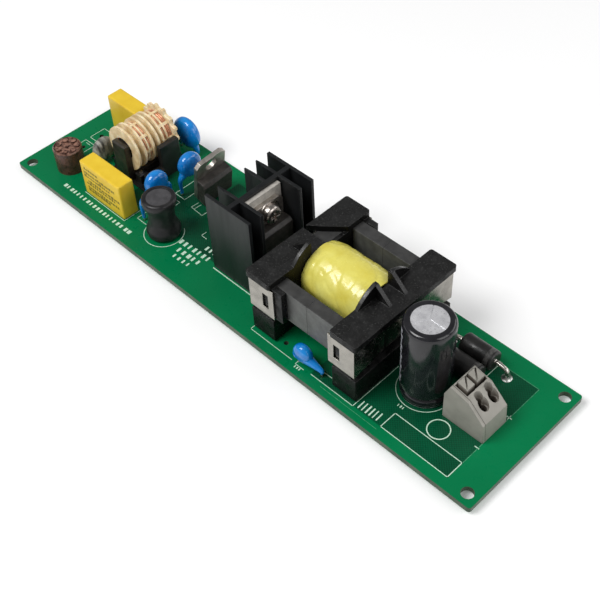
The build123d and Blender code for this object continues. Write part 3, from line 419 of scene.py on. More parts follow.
def package_black():
    """Black resin of a power package, finely matt."""
    g = Graph("package_black", (0.03, 0.03, 0.03), 0.5)
    g.mottle((0.020, 0.018, 0.016), (0.048, 0.042, 0.037), 900.0, 0.35, 0.7, 5.0)
    g.patchy_gloss(0.35, 0.55, 1200.0)
    g.bumpy(5000.0, 0.00004, 0.3, edge=0.0003)
    return g.material


def black_anodised():
    """Anodised heat sink, its grain running up it."""
    g = Graph("black_anodised", (0.020, 0.021, 0.022), 0.38, 0.2)
    g.mottle((0.008, 0.009, 0.010), (0.018, 0.019, 0.020), 300.0, 0.3, 0.7, 4.0, (1.0, 1.0, 0.15))
    g.patchy_gloss(0.30, 0.42, 500.0, 4.0, (1.0, 1.0, 0.1))
    g.bumpy(2000.0, 0.00002, 0.08, 4.0, (1.0, 1.0, 0.1), edge=0.00025)
    g.set(Specular_IOR_Level=0.3)
    return g.material


def nickel():
    """Nickel plate of the screw and its washer."""
    g = Graph("nickel", (0.50, 0.45, 0.41), 0.28, 1.0)
    g.mottle((0.36, 0.32, 0.29), (0.56, 0.52, 0.48), 700.0)
    g.patchy_gloss(0.20, 0.36, 1000.0)
    g.bumpy(2000.0, 0.00003, 0.2, edge=0.0002)
    return g.material


def spring_steel():
    """Bright rolled spring steel."""
    g = Graph("spring_steel", (0.50, 0.47, 0.43), 0.22, 1.0)
    g.mottle((0.30, 0.285, 0.255), (0.40, 0.38, 0.34), 350.0)
    g.patchy_gloss(0.16, 0.28, 700.0, 4.0, (0.2, 1.0, 1.0))
    g.bumpy(2200.0, 0.00002, 0.15, 4.0, (0.1, 1.0, 1.0), edge=0.00015)
    return g.material


def yellow_tape():
    """Thin glossy yellow tape."""
    g = Graph("yellow_tape", (0.72, 0.62, 0.12), 0.25)
    g.mottle((0.64, 0.55, 0.07), (0.80, 0.75, 0.19), 180.0, 0.3, 0.7, 5.0)
    g.patchy_gloss(0.16, 0.36, 350.0)
    g.bumpy(420.0, 0.0004, 0.28, 5.0, (0.6, 1.0, 1.0))
    g.set(Coat_Weight=0.4, Coat_Roughness=0.10)
    return g.material


def can_aluminium():
    """Pale grey aluminium of the can's top."""
    g = Graph("can_aluminium", (0.62, 0.62, 0.64), 0.35, 0.5)
    g.mottle((0.54, 0.54, 0.565), (0.74, 0.74, 0.76), 700.0, 0.3, 0.7, 5.0)
    g.patchy_gloss(0.22, 0.40, 1200.0)
    g.bumpy(3500.0, 0.00003, 0.25)
    return g.material


def rubber_black():
    """The can's rubber bung."""
    g = Graph("rubber_black", (0.02, 0.02, 0.02), 0.7)
    g.mottle((0.014, 0.014, 0.014), (0.03, 0.03, 0.03), 600.0)
    g.bumpy(2500.0, 0.00006, 0.3)
    return g.material


def terminal_grey():
    """Grey moulding with painted shade in its hollows, darker along its end plate's seam."""
    g = Graph("terminal_grey", (0.48, 0.46, 0.42), 0.5)
    face = g.ramp(g.noise(300.0, 4.0), [(0.3, (0.262, 0.252, 0.222)), (0.7, (0.335, 0.320, 0.285))])
    # Painted shade: ambient occlusion darkens the hollows towards a dark brown
    hollow_shade = g.add("ShaderNodeAmbientOcclusion", Distance=0.004)
    hollow_shade.samples = HOLLOW_SAMPLES
    unshaded_share = g.ramp(hollow_shade.outputs["AO"], [(0.16, 0.0), (0.66, 1.0)])
    shaded = g.blend(unshaded_share, (0.125, 0.105, 0.085), face)
    seam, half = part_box("terminal_end_plate")[1].y, 0.00008
    line = g.span("Y", seam - half, seam + half, half / 2)
    g.paint(g.blend(line, shaded, (0.060, 0.050, 0.042)))
    g.patchy_gloss(0.42, 0.58, 800.0)
    g.bumpy(4000.0, 0.00003, 0.25, edge=0.0002)
    return g.material


def pale_plate():
    """The bright insulating plate behind the mounted package."""
    g = Graph("pale_plate", (0.50, 0.47, 0.43), 0.45, 0.2)
    g.mottle((0.42, 0.395, 0.36), (0.58, 0.55, 0.50), 900.0, 0.3, 0.7, 5.0)
    g.patchy_gloss(0.35, 0.55, 1200.0)
    g.bumpy(3000.0, 0.00004, 0.25, edge=0.0002)
    return g.material


def dull_sleeve():
    """Thick shrunk tubing, darker and duller than the can's sleeve."""
    g = Graph("dull_sleeve", (0.012, 0.012, 0.012), 0.36)
    g.mottle((0.008, 0.008, 0.009), (0.020, 0.019, 0.020), 300.0)
    g.patchy_gloss(0.28, 0.44, 600.0)
    g.bumpy(900.0, 0.00005, 0.25)
    g.set(Specular_IOR_Level=0.32)
    return g.material


def drum_face():
    """The pressed end of the drum core that shows in the mouth of its sleeve."""
    g = Graph("drum_face", (0.08, 0.065, 0.075), 0.45)
    g.mottle((0.040, 0.039, 0.042), (0.070, 0.068, 0.073), 700.0, 0.3, 0.7, 5.0)
    g.patchy_gloss(0.35, 0.5, 900.0)
    g.bumpy(2500.0, 0.00005, 0.3)
    return g.material


def cathode_band():
    """Grey print round one end of a diode."""
    g = Graph("cathode_band", (0.30, 0.29, 0.27), 0.45)
    g.mottle((0.035, 0.034, 0.033), (0.10, 0.098, 0.094), 1500.0)
    g.bumpy(3000.0, 0.00003, 0.2)
    return g.material


def stripe_print():
    """Pale print on the dark sleeve of the can."""
    g = Graph("stripe_print", (0.45, 0.46, 0.5), 0.35)
    g.mottle((0.30, 0.31, 0.35), (0.55, 0.56, 0.60), 1800.0)
    g.bumpy(2500.0, 0.00002, 0.2)
    return g.material


looks = {
    "circuit_board": solder_mask(),
    "fuse": fuse_plastic(),
    "fuse_top": fuse_top(),
    "solder": bright_solder(),
    "wire": tinned_wire(),
    "yellow_box": capacitor_yellow(),
    "blue": ceramic_blue(),
    "thermistor": thermistor_coat(),
    "cream": bobbin_cream(),
    "copper": enamelled_copper(),
    "ferrite": ferrite_painted_sheen(),
    "brown_ferrite": brown_ferrite(),
    "moulding": black_moulding(),
    "dusty": dusty_black(),
    "sleeve": shrink_sleeve(),
    "tab": plated_tab(),
    "package": package_black(),
    "sink": black_anodised(),
    "nickel": nickel(),
    "clip": spring_steel(),
    "tape": yellow_tape(),
    "can": can_aluminium(),
    "rubber": rubber_black(),
    "terminal": terminal_grey(),
    "silk": silk_print(),
    "pour": pour_edge(),
    "box_print": capacitor_print(),
    "drum_face": drum_face(),
    "dull_sleeve": dull_sleeve(),
    "plate": pale_plate(),
    "band": cathode_band(),
    "stripe": stripe_print(),
}

# Which of the model's own nodes has which look
node_looks = {
    "circuit_board": ("circuit_board",),
    "solder": ("solder_joints",),
    "wire": (
        "fuse_element", "x2_capacitor_leads", "thermistor_leads", "choke_pins",
        "disc_capacitor_leads", "drum_leads", "free_transistor_leads",
        "mounted_transistor_leads", "heatsink_pins", "transformer_pins",
        "electrolytic_leads", "diode_leads", "terminal_pins",
    ),
    "fuse": ("fuse_base",),
    "fuse_top": ("fuse_cap",),
    "yellow_box": ("x2_capacitor_front", "x2_capacitor_rear"),
    "thermistor": ("thermistor",),
    "blue": (
        "disc_capacitor_left", "disc_capacitor_middle",
        "disc_capacitor_rear", "disc_capacitor_front",
    ),
    "brown_ferrite": ("choke_core",),
    "cream": ("choke_bobbin",),
    "copper": (
        "choke_winding_front", "choke_winding_rear", "drum_winding", "transformer_winding",
    ),
    "moulding": ("choke_base",),
    "drum_face": ("drum_core",),
    "sleeve": ("drum_sleeve", "electrolytic_sleeve"),
    "tab": ("free_transistor_tab", "mounted_transistor_tab"),
    "package": (
        "free_transistor_body", "mounted_transistor_body", "diode_rear", "diode_front",
    ),
    "sink": ("heatsink",),
    "nickel": ("heatsink_screw", "screw_washer"),
    "plate": ("thermal_pad",),
    "ferrite": ("transformer_core_left", "transformer_core_right"),
    "dusty": ("transformer_bobbin",),
    "tape": ("transformer_tape",),
    "clip": ("core_clip_left", "core_clip_right", "terminal_clamps"),
    "can": ("electrolytic_can",),
    "rubber": ("electrolytic_bung",),
    "terminal": ("terminal_housing", "terminal_end_plate", *BUTTONS),
}

for look, names in node_looks.items():
    for name in names:
        slots = nodes[name].material_slots
        if not slots:
            nodes[name].data.materials.append(looks[look])
        for slot in slots:
            slot.material = looks[look]


# Shapes


def board_point(x, y, height=0.0):
    """A point from millimetres, its height measured from the board's top face."""
    return Vector((x * MM, y * MM, board_top + height * MM))


def up(height):
    """A rise, from millimetres."""
    return Vector((0, 0, height * MM))


def polar(radius, turn, height):
    """A point round an upright axis, its turn in radians."""
    return Vector((radius * math.cos(turn), radius * math.sin(turn), height))


def middle(node):
    """The middle of a node's box."""
    low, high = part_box(node)
    return (Vector(low) + Vector(high)) / 2


def round_node(node, axis):
    """Start, length and radius of a node that is round about axis 0, 1 or 2.

    The start is in metres, the length and the radius are in millimetres.
    """
    low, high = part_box(node)
    start = middle(node)
    start[axis] = low[axis]
    across = 0 if axis == 2 else 2
    return start, (high[axis] - low[axis]) / MM, (high[across] - low[across]) / 2 / MM


def placed(name, data):
    """A new object in the scene."""
    item = bpy.data.objects.new(name, data)
    bpy.context.scene.collection.objects.link(item)
    return item


def built_mesh(name, shapes):
    """A mesh from several shapes, each a list of points and a list of faces."""
    work = bmesh.new()
    for points, faces in shapes:
        corners = [work.verts.new(point) for point in points]
        for face in faces:
            work.faces.new([corners[k] for k in face])
    bmesh.ops.recalc_face_normals(work, faces=work.faces)
    mesh = bpy.data.meshes.new(name)
    work.to_mesh(mesh)
    work.free()
    return mesh


def new_piece(name, shapes, look, replaced=(), body=BOARD, angle=35.0):
    """One piece from several shapes, its soft edges smoothed and its sharp ones kept."""
    mesh = built_mesh(name, shapes)
    mesh.polygons.foreach_set("use_smooth", [True] * len(mesh.polygons))
    mesh.set_sharp_from_angle(angle=math.radians(angle))
    mesh.materials.append(looks[look])
    piece = placed(name, mesh)
    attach(piece, body)
    if replaced:
        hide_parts(*replaced)


def skin(rings, turns):
    """Faces that join rings of points, each to the next, and close both ends."""
    faces = [tuple(reversed(range(turns)))]
    for ring in range(rings - 1):
        for k in range(turns):
            a = ring * turns + k
            b = ring * turns + (k + 1) % turns
            faces.append((a, b, b + turns, a + turns))
    last = (rings - 1) * turns
    faces.append(tuple(range(last, last + turns)))
    return faces


def turned(profile, origin, along, turns):
    """A closed solid from (radius, distance) pairs in millimetres turned about an axis."""
    along = Vector(along).normalized()
    side = along.orthogonal().normalized()
    across = along.cross(side)
    points = []
    for radius, distance in profile:
        for k in range(turns):
            angle = 2 * math.pi * k / turns
            out = side * math.cos(angle) + across * math.sin(angle)
            points.append(origin + (along * distance + out * radius) * MM)
    return points, skin(len(profile), turns)


def rolled(radius, length, foot, rim):
    """A profile from its insets: foot pairs them with heights, rim with drops from the end."""
    lower = [(radius - inset, height) for inset, height in foot]
    return lower + [(radius - inset, length - drop) for inset, drop in rim]


PATH_STEPS = 5


def smooth_path(corners):
    """Points on a smooth line through the corners."""
    path = []
    ends = [corners[0] * 2 - corners[1], *corners, corners[-1] * 2 - corners[-2]]
    for a, b, c, d in zip(ends, ends[1:], ends[2:], ends[3:]):
        for k in range(PATH_STEPS):
            t = k / PATH_STEPS
            square = (2 * a - 5 * b + 4 * c - d) * t**2
            cube = (3 * b - a - 3 * c + d) * t**3
            path.append(0.5 * (2 * b + (c - a) * t + square + cube))
    path.append(corners[-1])
    return path


def tube(path, radii, turns=12):
    """A closed round tube along a path, its radius in millimetres at each point."""
    points = []
    side = (path[1] - path[0]).orthogonal().normalized()
    for k, place in enumerate(path):
        along = (path[min(k + 1, len(path) - 1)] - path[max(k - 1, 0)]).normalized()
        side = (side - along * side.dot(along)).normalized()
        across = along.cross(side)
        for j in range(turns):
            angle = 2 * math.pi * j / turns
            out = side * math.cos(angle) + across * math.sin(angle)
            points.append(place + out * radii[k] * MM)
    return points, skin(len(path), turns)


# Print on the board, in millimetres

PRINT_LIFT = 0.01
PRINT_DEPTH = 0.03
LINE = 0.17
BOLD = 0.25

# Printed lines: the width, then the corners
PRINT_LINES = (
    # An empty frame, a minus and a plus
    (0.2, (56.2, -12.8), (76.2, -12.8), (76.2, -17.95), (56.2, -17.95), (56.2, -12.8)),
    (BOLD, (75.5, -7.3), (76.5, -7.3)),
    (BOLD, (75.6, 4.3), (76.8, 4.3)),
    (BOLD, (76.2, 3.7), (76.2, 4.9)),
    # Outlines of parts toward the output end
    (LINE, (34.3, -15.5), (38.2, -15.5)),
    (LINE, (30.2, -15.6), (28.6, -15.6), (28.6, -18.4), (31.4, -18.4)),
    (LINE, (33.7, -18.1), (47.5, -18.1), (47.5, -1.8)),
    (LINE, (12.4, -14.5), (12.4, -18.1), (27.0, -18.1)),
    (LINE, (64.8, 10.5), (64.8, 16.0), (55.3, 16.0), (55.3, 10.5)),
    (LINE, (64.8, 4.4), (64.8, 10.0), (55.3, 10.0)),
    # Outlines between the transformer and the choke
    (0.3, (-10.3, -10.35), (5.7, -10.35)),
    (LINE, (-36.4, -12.0), (-40.4, -12.0), (-40.4, 0.2), (-36.4, 0.2), (-36.4, -12.0)),
    (LINE, (-36.3, 1.9), (-40.3, 1.9), (-40.3, 11.2), (-36.3, 11.2), (-36.3, 1.9)),
    (LINE, (-32.6, 1.2), (-27.8, 0.9), (-27.6, 3.4)),
    (LINE, (-31.4, 1.2), (-31.2, 3.6)),
    (LINE, (-32.6, 1.2), (-32.4, 3.6)),
    (LINE, (-19.9, -4.4), (-21.9, -4.4), (-21.9, -2.7)),
    # Outlines of parts toward the mains end
    (LINE, (-59.9, -15.2), (-42.2, -15.2), (-42.2, -9.6)),
    (LINE, (-78.6, -6.2), (-74.4, -6.2), (-74.4, -0.8), (-78.6, -0.8), (-78.6, -6.2)),
    (LINE, (-78.6, 0.8), (-74.4, 0.8), (-74.4, 6.2), (-78.6, 6.2), (-78.6, 0.8)),
    (LINE, (-77.4, -1.6), (-75.6, -1.6)),
)

# Printed arcs: centre, radius, first and last angle in degrees, width and steps
PRINT_ARCS = (
    ((66.5, -9.4), 2.75, 0, 360, 0.28, 60),
    ((56.5, -2.5), 7.0, 185, 345, 0.16, 48),
    ((-30.4, -10.6), 5.6, 130, 420, 0.2, 64),
)

# Least and most of a block's width, as shares of the width that its row gives
BLOCK_DRIFT = (0.65, 1.35)

# Rows of blocks: start, end, height, count, and the share of the row that is inked
PRINT_ROWS = (
    ((-17.3, -7.5), (-11.2, -7.2), 1.5, 4, 0.5),
    ((-24.6, -10.5), (-12.4, -10.0), 1.6, 7, 0.5),
    ((-22.6, -13.0), (-13.4, -12.6), 1.5, 5, 0.5),
    ((-21.8, -15.1), (-14.8, -14.8), 1.2, 4, 0.3),
    ((-66.9, -17.9), (-40.0, -17.8), 1.2, 18, 0.5),
    ((-39.6, -17.8), (-36.9, -17.8), 1.3, 2, 0.8),
    ((48.6, -17.7), (55.2, -17.4), 2.5, 6, 0.3),
    ((29.0, -19.4), (31.2, -19.3), 0.7, 3, 0.36),
    ((55.0, -10.9), (57.2, -10.8), 0.7, 3, 0.36),
)

# Edges of the copper pours under the mask: the width, then the corners
POUR_LINES = (
    (0.13, (76.3, -12.6), (76.3, 15.6), (66.0, 15.6)),
    (0.1, (38.0, -19.2), (56.0, -19.2)),
)


def slab(corners):
    """A thin flat plate on the board from its corners in plan."""
    heights = (PRINT_LIFT, PRINT_LIFT + PRINT_DEPTH)
    points = [board_point(x, y, height) for height in heights for x, y in corners]
    return points, skin(len(heights), len(corners))


def bar(start, end, low, high, beyond=0.0):
    """A flat bar along a line, from low to high across it and beyond both its ends."""
    reach = math.dist(start, end)
    ux, uy = (end[0] - start[0]) / reach, (end[1] - start[1]) / reach
    first, last = -beyond, reach + beyond
    return slab(
        [
            (start[0] + ux * along - uy * across, start[1] + uy * along + ux * across)
            for along, across in ((first, low), (last, low), (last, high), (first, high))
        ]
    )


def strokes(width, *corners):
    """Straight printed lines with square ends, each corner joined to the next."""
    half = width / 2
    return [bar(start, end, -half, half, half) for start, end in zip(corners, corners[1:])]


def arc(centre, radius, start, end, width, steps):
    """A printed arc between two angles in degrees."""
    inner, outer = radius - width / 2, radius + width / 2
    shapes = []
    for k in range(steps):
        a, b = (math.radians(start + (end - start) * (k + j) / steps) for j in (0, 1))
        corners = [
            (centre[0] + r * math.cos(t), centre[1] + r * math.sin(t))
            for r, t in ((inner, a), (outer, a), (outer, b), (inner, b))
        ]
        shapes.append(slab(corners))
    return shapes


def blocks(start, end, height, count, inked):
    """A row of small plain blocks where the real board carries a printed row."""
    shapes = []
    for k in range(count):
        wide = inked * rng.uniform(*BLOCK_DRIFT)
        first, last = (
            [a + (b - a) * place / count for a, b in zip(start, end)] for place in (k, k + wide)
        )
        shapes.append(bar(first, last, 0.0, height))
    return shapes


def drawn(maker, table):
    """The shapes that a function makes from each row of a table."""
    return [shape for row in table for shape in maker(*row)]


board_print = drawn(strokes, PRINT_LINES) + drawn(arc, PRINT_ARCS) + drawn(blocks, PRINT_ROWS)
new_piece("board_print", board_print, "silk")
new_piece("pour_edges", drawn(strokes, POUR_LINES), "pour")


# Coated discs: a rounded body with the coating run down its two legs

# Powers that make the rim blunt and the faces round
RIM_POWER = 0.62
FACE_POWER = 0.85
DISC_STEPS = 22
DISC_TURNS = 56

# How unevenly the coat is dipped, and the scale of that
DIP_DEPTH = 0.035
DIP_SCALE = 260.0
DIP_SEED = 900.0

# The coat's run down a leg. As shares of the disc's radius: how far out and down it
# starts, and how far down its knee is. Then its extra radius at the top, how fast
# that thins, the height where it ends and the least height of its knee
RUN_OUT, RUN_DOWN, RUN_KNEE = 0.45, 0.35, 1.05
RUN_RADIUS = 1.2
RUN_POWER = 1.7
RUN_END = 1.0
LEAST_KNEE = 1.9


def dipped_body(centre, along, half, radius):
    """The disc's own body, its surface a little uneven."""
    profile = []
    for k in range(DISC_STEPS + 1):
        turn = math.pi * (k / DISC_STEPS - 0.5)
        wide = max(math.cos(turn), 0.0) ** RIM_POWER
        deep = math.copysign(abs(math.sin(turn)) ** FACE_POWER, math.sin(turn))
        profile.append((max(radius * wide, 0.02), half * deep))
    points, faces = turned(profile, centre, along, DISC_TURNS)
    uneven = []
    for point in points:
        out = point - centre
        dip = 0.5 + 0.5 * noise.noise(out * DIP_SCALE + centre * DIP_SEED)
        uneven.append(centre + out * (1.0 - DIP_DEPTH * dip))
    return uneven, faces


def coated_leg(centre, leg, out, radius, height, leg_radius):
    """The coat from the disc down one leg, thinning to the bare lead."""
    start = centre + out * radius * RUN_OUT * MM - up(radius * RUN_DOWN)
    knee = leg + up(max(height - radius * RUN_KNEE, LEAST_KNEE))
    path = smooth_path([start, (start + knee) / 2, knee, leg + up(RUN_END)])
    last = len(path) - 1
    radii = [leg_radius + RUN_RADIUS * (1 - k / last) ** RUN_POWER for k in range(last + 1)]
    return tube(path, radii)


def coated_disc(
    name, node, legs, half, radius, height,
    shift=0.0, leg_radius=0.5, along=X_AXIS, across=Y_AXIS, look="blue",
):
    """A dipped disc in millimetres, standing on its leads.

    half is half its thickness, height that of its centre over the board, and shift
    its distance from the middle of its legs. It faces along, and is wide across.
    """
    across = Vector(across)
    places = [board_point(*leg) for leg in legs]
    centre = (places[0] + places[1]) / 2 + across * shift * MM + up(height)
    shapes = [dipped_body(centre, Vector(along), half, radius)]
    for leg, side in zip(places, (-1, 1)):
        shapes.append(coated_leg(centre, leg, across * side, radius, height, leg_radius))
    new_piece(name, shapes, look, (node,))


coated_disc(
    "left_disc", "disc_capacitor_left", ((-38.3, -11.0), (-38.3, -1.0)),
    half=2.0, radius=3.7, height=10.0, shift=0.9,
)
coated_disc(
    "middle_disc", "disc_capacitor_middle", ((-38.2, 2.75), (-38.2, 10.25)),
    half=2.0, radius=3.8, height=9.1, shift=0.2,
)
coated_disc(
    "rear_disc", "disc_capacitor_rear", ((-55.25, 17.1), (-47.75, 17.1)),
    half=2.1, radius=5.0, height=6.8, along=Y_AXIS, across=X_AXIS,
)
coated_disc(
    "front_disc", "disc_capacitor_front", ((28.56, -17.1), (36.05, -16.7)),
    half=1.6, radius=2.8, height=4.1, shift=-2.2, leg_radius=0.45,
    along=(-0.0523, 0.9986, 0), across=(0.9986, 0.0523, 0),
)
coated_disc(
    "thermistor_disc", "thermistor", ((-66.3, -5.1), (-66.3, -0.1)),
    half=1.75, radius=3.7, height=4.7, leg_radius=0.55, look="thermistor",
)


# Wound turns of the choke, standing a little proud of the plain winding

# Half the wire's thickness, and how flat it lies along the winding
CHOKE_WIRE = 0.26
WIRE_FLATNESS = 0.98
CHOKE_PROUD = 0.3
CHOKE_TURNS = 40
WIRE_STEPS = 8
END_GAP = 0.02

for label in ("front", "rear"):
    node = f"choke_winding_{label}"
    start, length, radius = round_node(node, 1)
    radius += CHOKE_PROUD
    core = radius - 2 * CHOKE_WIRE
    count = int(length / (2 * CHOKE_WIRE))
    shapes = [turned([(core, END_GAP), (core, length - END_GAP)], start, Y_AXIS, CHOKE_TURNS)]
    for k in range(count):
        place = (k + 0.5) * length / count
        ring = []
        for j in range(WIRE_STEPS + 1):
            angle = math.pi * j / WIRE_STEPS
            out = radius - CHOKE_WIRE + CHOKE_WIRE * math.sin(angle)
            ring.append((out, place - CHOKE_WIRE * math.cos(angle) * WIRE_FLATNESS))
        shapes.append(turned(ring, start, Y_AXIS, CHOKE_TURNS))
    new_piece(f"choke_turns_{label}", shapes, "copper", (node,), angle=60.0)


# Winding of the transformer, grooved by its wire

COIL_INSET = 1.1
COIL_GROOVE = 0.12
COIL_STEPS = 36
COIL_TURNS = 64

start, length, radius = round_node("transformer_winding", 0)
grooves = [
    (radius - COIL_INSET - COIL_GROOVE * (k % 2), length * k / COIL_STEPS)
    for k in range(COIL_STEPS + 1)
]
coil = turned(grooves, start, X_AXIS, COIL_TURNS)
new_piece("wound_coil", [coil], "copper", ("transformer_winding",))


# Tape round the winding, crowned, rippled and creased

TAPE_INSET = 0.25
TAPE_CROWN = 0.75
TAPE_STEPS = 60
TAPE_TURNS = 120
RIPPLE_HEIGHT = 0.17
CREASE_DEPTH = 0.13
CREASE_WIDTH = 0.20


def tape_lift(along, turn):
    """How far the tape stands off at a place along it and an angle round it."""
    ripple = noise.noise(Vector((along * 0.20 + turn * 0.5, turn * 1.9, 1.7)))
    fold = Vector((along * 0.34 - turn * 1.2, turn * 1.5 + along * 0.12, 5.1))
    crease = max(0.0, CREASE_WIDTH - abs(noise.noise(fold))) / CREASE_WIDTH
    return RIPPLE_HEIGHT * ripple - CREASE_DEPTH * crease


start, length, radius = round_node("transformer_tape", 0)
profile = []
for k in range(TAPE_STEPS + 1):
    share = 2 * k / TAPE_STEPS - 1
    drop = TAPE_CROWN * abs(share) ** 5
    profile.append((radius - TAPE_INSET - drop, length * (share + 1) / 2))
points, faces = turned(profile, start, X_AXIS, TAPE_TURNS)
wrinkled = []
for point in points:
    out = Vector((0, point.y - start.y, point.z - start.z))
    lift = tape_lift((point.x - start.x) / MM, math.atan2(out.z, out.y))
    wrinkled.append(point + out.normalized() * lift * MM)
new_piece("winding_tape", [(wrinkled, faces)], "tape", ("transformer_tape",), angle=60.0)


# Electrolytic can: its shrink sleeve, pinched over the can's groove and rolled over its rim

CAN_TURNS = 96
CAN_FOOT = (
    (0.55, 0.0), (0.1, 0.25), (0.0, 0.8), (0.0, 1.7),
    (0.18, 2.1), (0.42, 2.5), (0.18, 2.9), (0.0, 3.4),
)
CAN_RIM = (
    (0.0, 1.5), (0.06, 0.95), (0.28, 0.45), (0.62, 0.12),
    (1.05, 0.0), (1.6, 0.08), (1.9, 0.22), (1.98, 0.5),
)

can_foot, can_height, can_radius = round_node("electrolytic_sleeve", 2)
can_profile = rolled(can_radius, can_height, CAN_FOOT, CAN_RIM)
can_sleeve = turned(can_profile, can_foot, Z_AXIS, CAN_TURNS)
new_piece("can_sleeve", [can_sleeve], "sleeve", ("electrolytic_sleeve",))


# The can's scored top

TOP_INSET = 1.96
TOP_DROP = 0.44
TOP_TURNS = 48
APEX_SHIFT = (0.2, 0.6, 0.0)
SCORE_TURNS = (-75.0, -20.0, 60.0, 160.0)
SCORE_GAP = 1.6
SCORE_DEPTH = 0.22
FACET_TILTS = (0.14, -0.09, 0.10, -0.13)
FACET_BOW = 2.4
FACET_STEPS = 10


def scored_top(centre, radius):
    """Four facets that each lean a little, with a floor below the gaps between them."""
    points, faces = [], []
    apex = centre + Vector(APEX_SHIFT) * MM
    ends = (*SCORE_TURNS[1:], SCORE_TURNS[0] + 360.0)
    for start, end, tilt in zip(SCORE_TURNS, ends, FACET_TILTS):
        first = len(points)
        points.append(apex + up(tilt))
        for k in range(FACET_STEPS + 1):
            share = k / FACET_STEPS
            turn = math.radians(start + SCORE_GAP + (end - start - 2 * SCORE_GAP) * share)
            lean = tilt * (1 - FACET_BOW * math.sin(math.pi * share))
            points.append(centre + polar(radius, turn, lean) * MM)
        faces += [(first, first + k, first + k + 1) for k in range(1, FACET_STEPS + 1)]
    faces.append(tuple(range(len(points), len(points) + TOP_TURNS)))
    for k in range(TOP_TURNS):
        turn = 2 * math.pi * k / TOP_TURNS
        points.append(centre + polar(radius, turn, -SCORE_DEPTH) * MM)
    return points, faces


top = scored_top(can_foot + up(can_height - TOP_DROP), can_radius - TOP_INSET)
new_piece("can_top", [top], "can", angle=3.0)


# Marks printed up the can, one above the other

MARK_COUNT = 11
MARK_PITCH = 1.75
MARK_HEIGHT = 0.9
LOWEST_MARK = 4.2
INK_LIFTS = (0.005, 0.03)
PATCH_STEP = 3.0

# The marks' two sides in degrees, and by how much some marks are shifted there
MARK_SIDES = (-137.0, -124.0)
MARK_SHIFTS = (2.0, 3.0)


def sleeve_patch(start, end, low, high):
    """A thin printed patch on the can between two angles and two heights."""
    steps = max(2, int((end - start) / PATCH_STEP))
    under, over = INK_LIFTS
    points = []
    for k in range(steps + 1):
        turn = math.radians(start + (end - start) * k / steps)
        for lift, height in ((under, low), (under, high), (over, high), (over, low)):
            points.append(can_foot + polar(can_radius + lift, turn, height) * MM)
    return points, skin(steps + 1, 4)


marks = []
for k in range(MARK_COUNT):
    foot = LOWEST_MARK + MARK_PITCH * k
    left = MARK_SIDES[0] + MARK_SHIFTS[0] * (k % 3)
    right = MARK_SIDES[1] + MARK_SHIFTS[1] * (k % 2)
    marks.append(sleeve_patch(left, right, foot, foot + MARK_HEIGHT))
new_piece("can_print", marks, "stripe", angle=20.0)


# Drum inductor: its sleeve, shrunk in round the waist of the drum, and the drum's end

DRUM_TURNS = 80
DRUM_FOOT = (
    (0.5, 0.0), (0.1, 0.2), (0.0, 0.7), (0.0, 1.5), (0.25, 2.4), (0.8, 3.5),
    (1.05, 4.6), (1.1, 6.2), (1.05, 7.8), (0.75, 9.0), (0.22, 10.2), (0.0, 11.0),
)
DRUM_RIM = (
    (0.0, 0.9), (0.12, 0.4), (0.42, 0.1), (0.8, 0.0),
    (1.1, 0.03), (1.3, 0.12), (1.35, 0.32),
)
FACE_DROP = 0.36
FACE_TURNS = 64

drum_foot, drum_height, drum_radius = round_node("drum_sleeve", 2)
drum_profile = rolled(drum_radius, drum_height, DRUM_FOOT, DRUM_RIM)
drum_wrap = turned(drum_profile, drum_foot, Z_AXIS, DRUM_TURNS)
new_piece("drum_wrap", [drum_wrap], "dull_sleeve", ("drum_sleeve",))
face_profile = [(drum_radius - 1.32, 0.0), (drum_radius - 1.34, 0.06), (0.02, 0.1)]
face_base = drum_foot + up(drum_height - FACE_DROP)
new_piece("drum_disc", [turned(face_profile, face_base, Z_AXIS, FACE_TURNS)], "drum_face")


# Diodes, their leads and the solder round them

DIODE_TURNS, LEAD_TURNS, KNOB_TURNS, CONE_TURNS = 64, 16, 24, 32
DIODE_FOOT = ((0.75, 0.0), (0.35, 0.06), (0.1, 0.25), (0.0, 0.55))
DIODE_BAND = ((-0.004, 2.1), (-0.02, 2.05), (-0.02, 0.85), (-0.004, 0.8))
LEAD_RADIUS = 0.6
LEAD_REACH = 8.5
LEAD_KNOB = ((1.1, -0.25), (0.95, -0.05), (0.7, 0.15), (0.62, 0.3))
SOLDER_CONE = ((1.35, 0.0), (1.2, 0.1), (0.95, 0.28), (0.75, 0.6), (0.62, 0.95))

lead_bottom = (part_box("diode_leads")[0].z - board_top) / MM


def lead_path(centre, length, side):
    """The corners of one lead, from inside the diode's end to below the board."""
    x, y = centre.x / MM, centre.y / MM
    axis = (centre.z - board_top) / MM
    places = (
        (length / 2 - 0.2, axis),
        (length / 2 + 1.6, axis),
        (LEAD_REACH - 0.5, axis - 0.45),
        (LEAD_REACH, axis - 1.4),
        (LEAD_REACH, 0.3),
        (LEAD_REACH, lead_bottom),
    )
    return [board_point(x + side * out, y, height) for out, height in places]


leads, cones = [], []
for end in ("rear", "front"):
    node = f"diode_{end}"
    start, length, radius = round_node(node, 0)
    body = rolled(radius, length, DIODE_FOOT, reversed(DIODE_FOOT))
    band = rolled(radius, length, (), DIODE_BAND)
    new_piece(f"{end}_diode", [turned(body, start, X_AXIS, DIODE_TURNS)], "moulding", (node,))
    new_piece(f"{end}_diode_band", [turned(band, start, X_AXIS, DIODE_TURNS)], "band")
    centre = middle(node)
    for side in (-1, 1):
        corners = lead_path(centre, length, side)
        path = smooth_path(corners)
        leads.append(tube(path, [LEAD_RADIUS] * len(path), LEAD_TURNS))
        leads.append(turned(LEAD_KNOB, corners[0], (side, 0, 0), KNOB_TURNS))
        hole = board_point(centre.x / MM + side * LEAD_REACH, centre.y / MM)
        cones.append(turned(SOLDER_CONE, hole, Z_AXIS, CONE_TURNS))
new_piece("diode_wires", leads, "wire", ("diode_leads",), angle=50.0)
new_piece("top_solder", cones, "solder", angle=60.0)


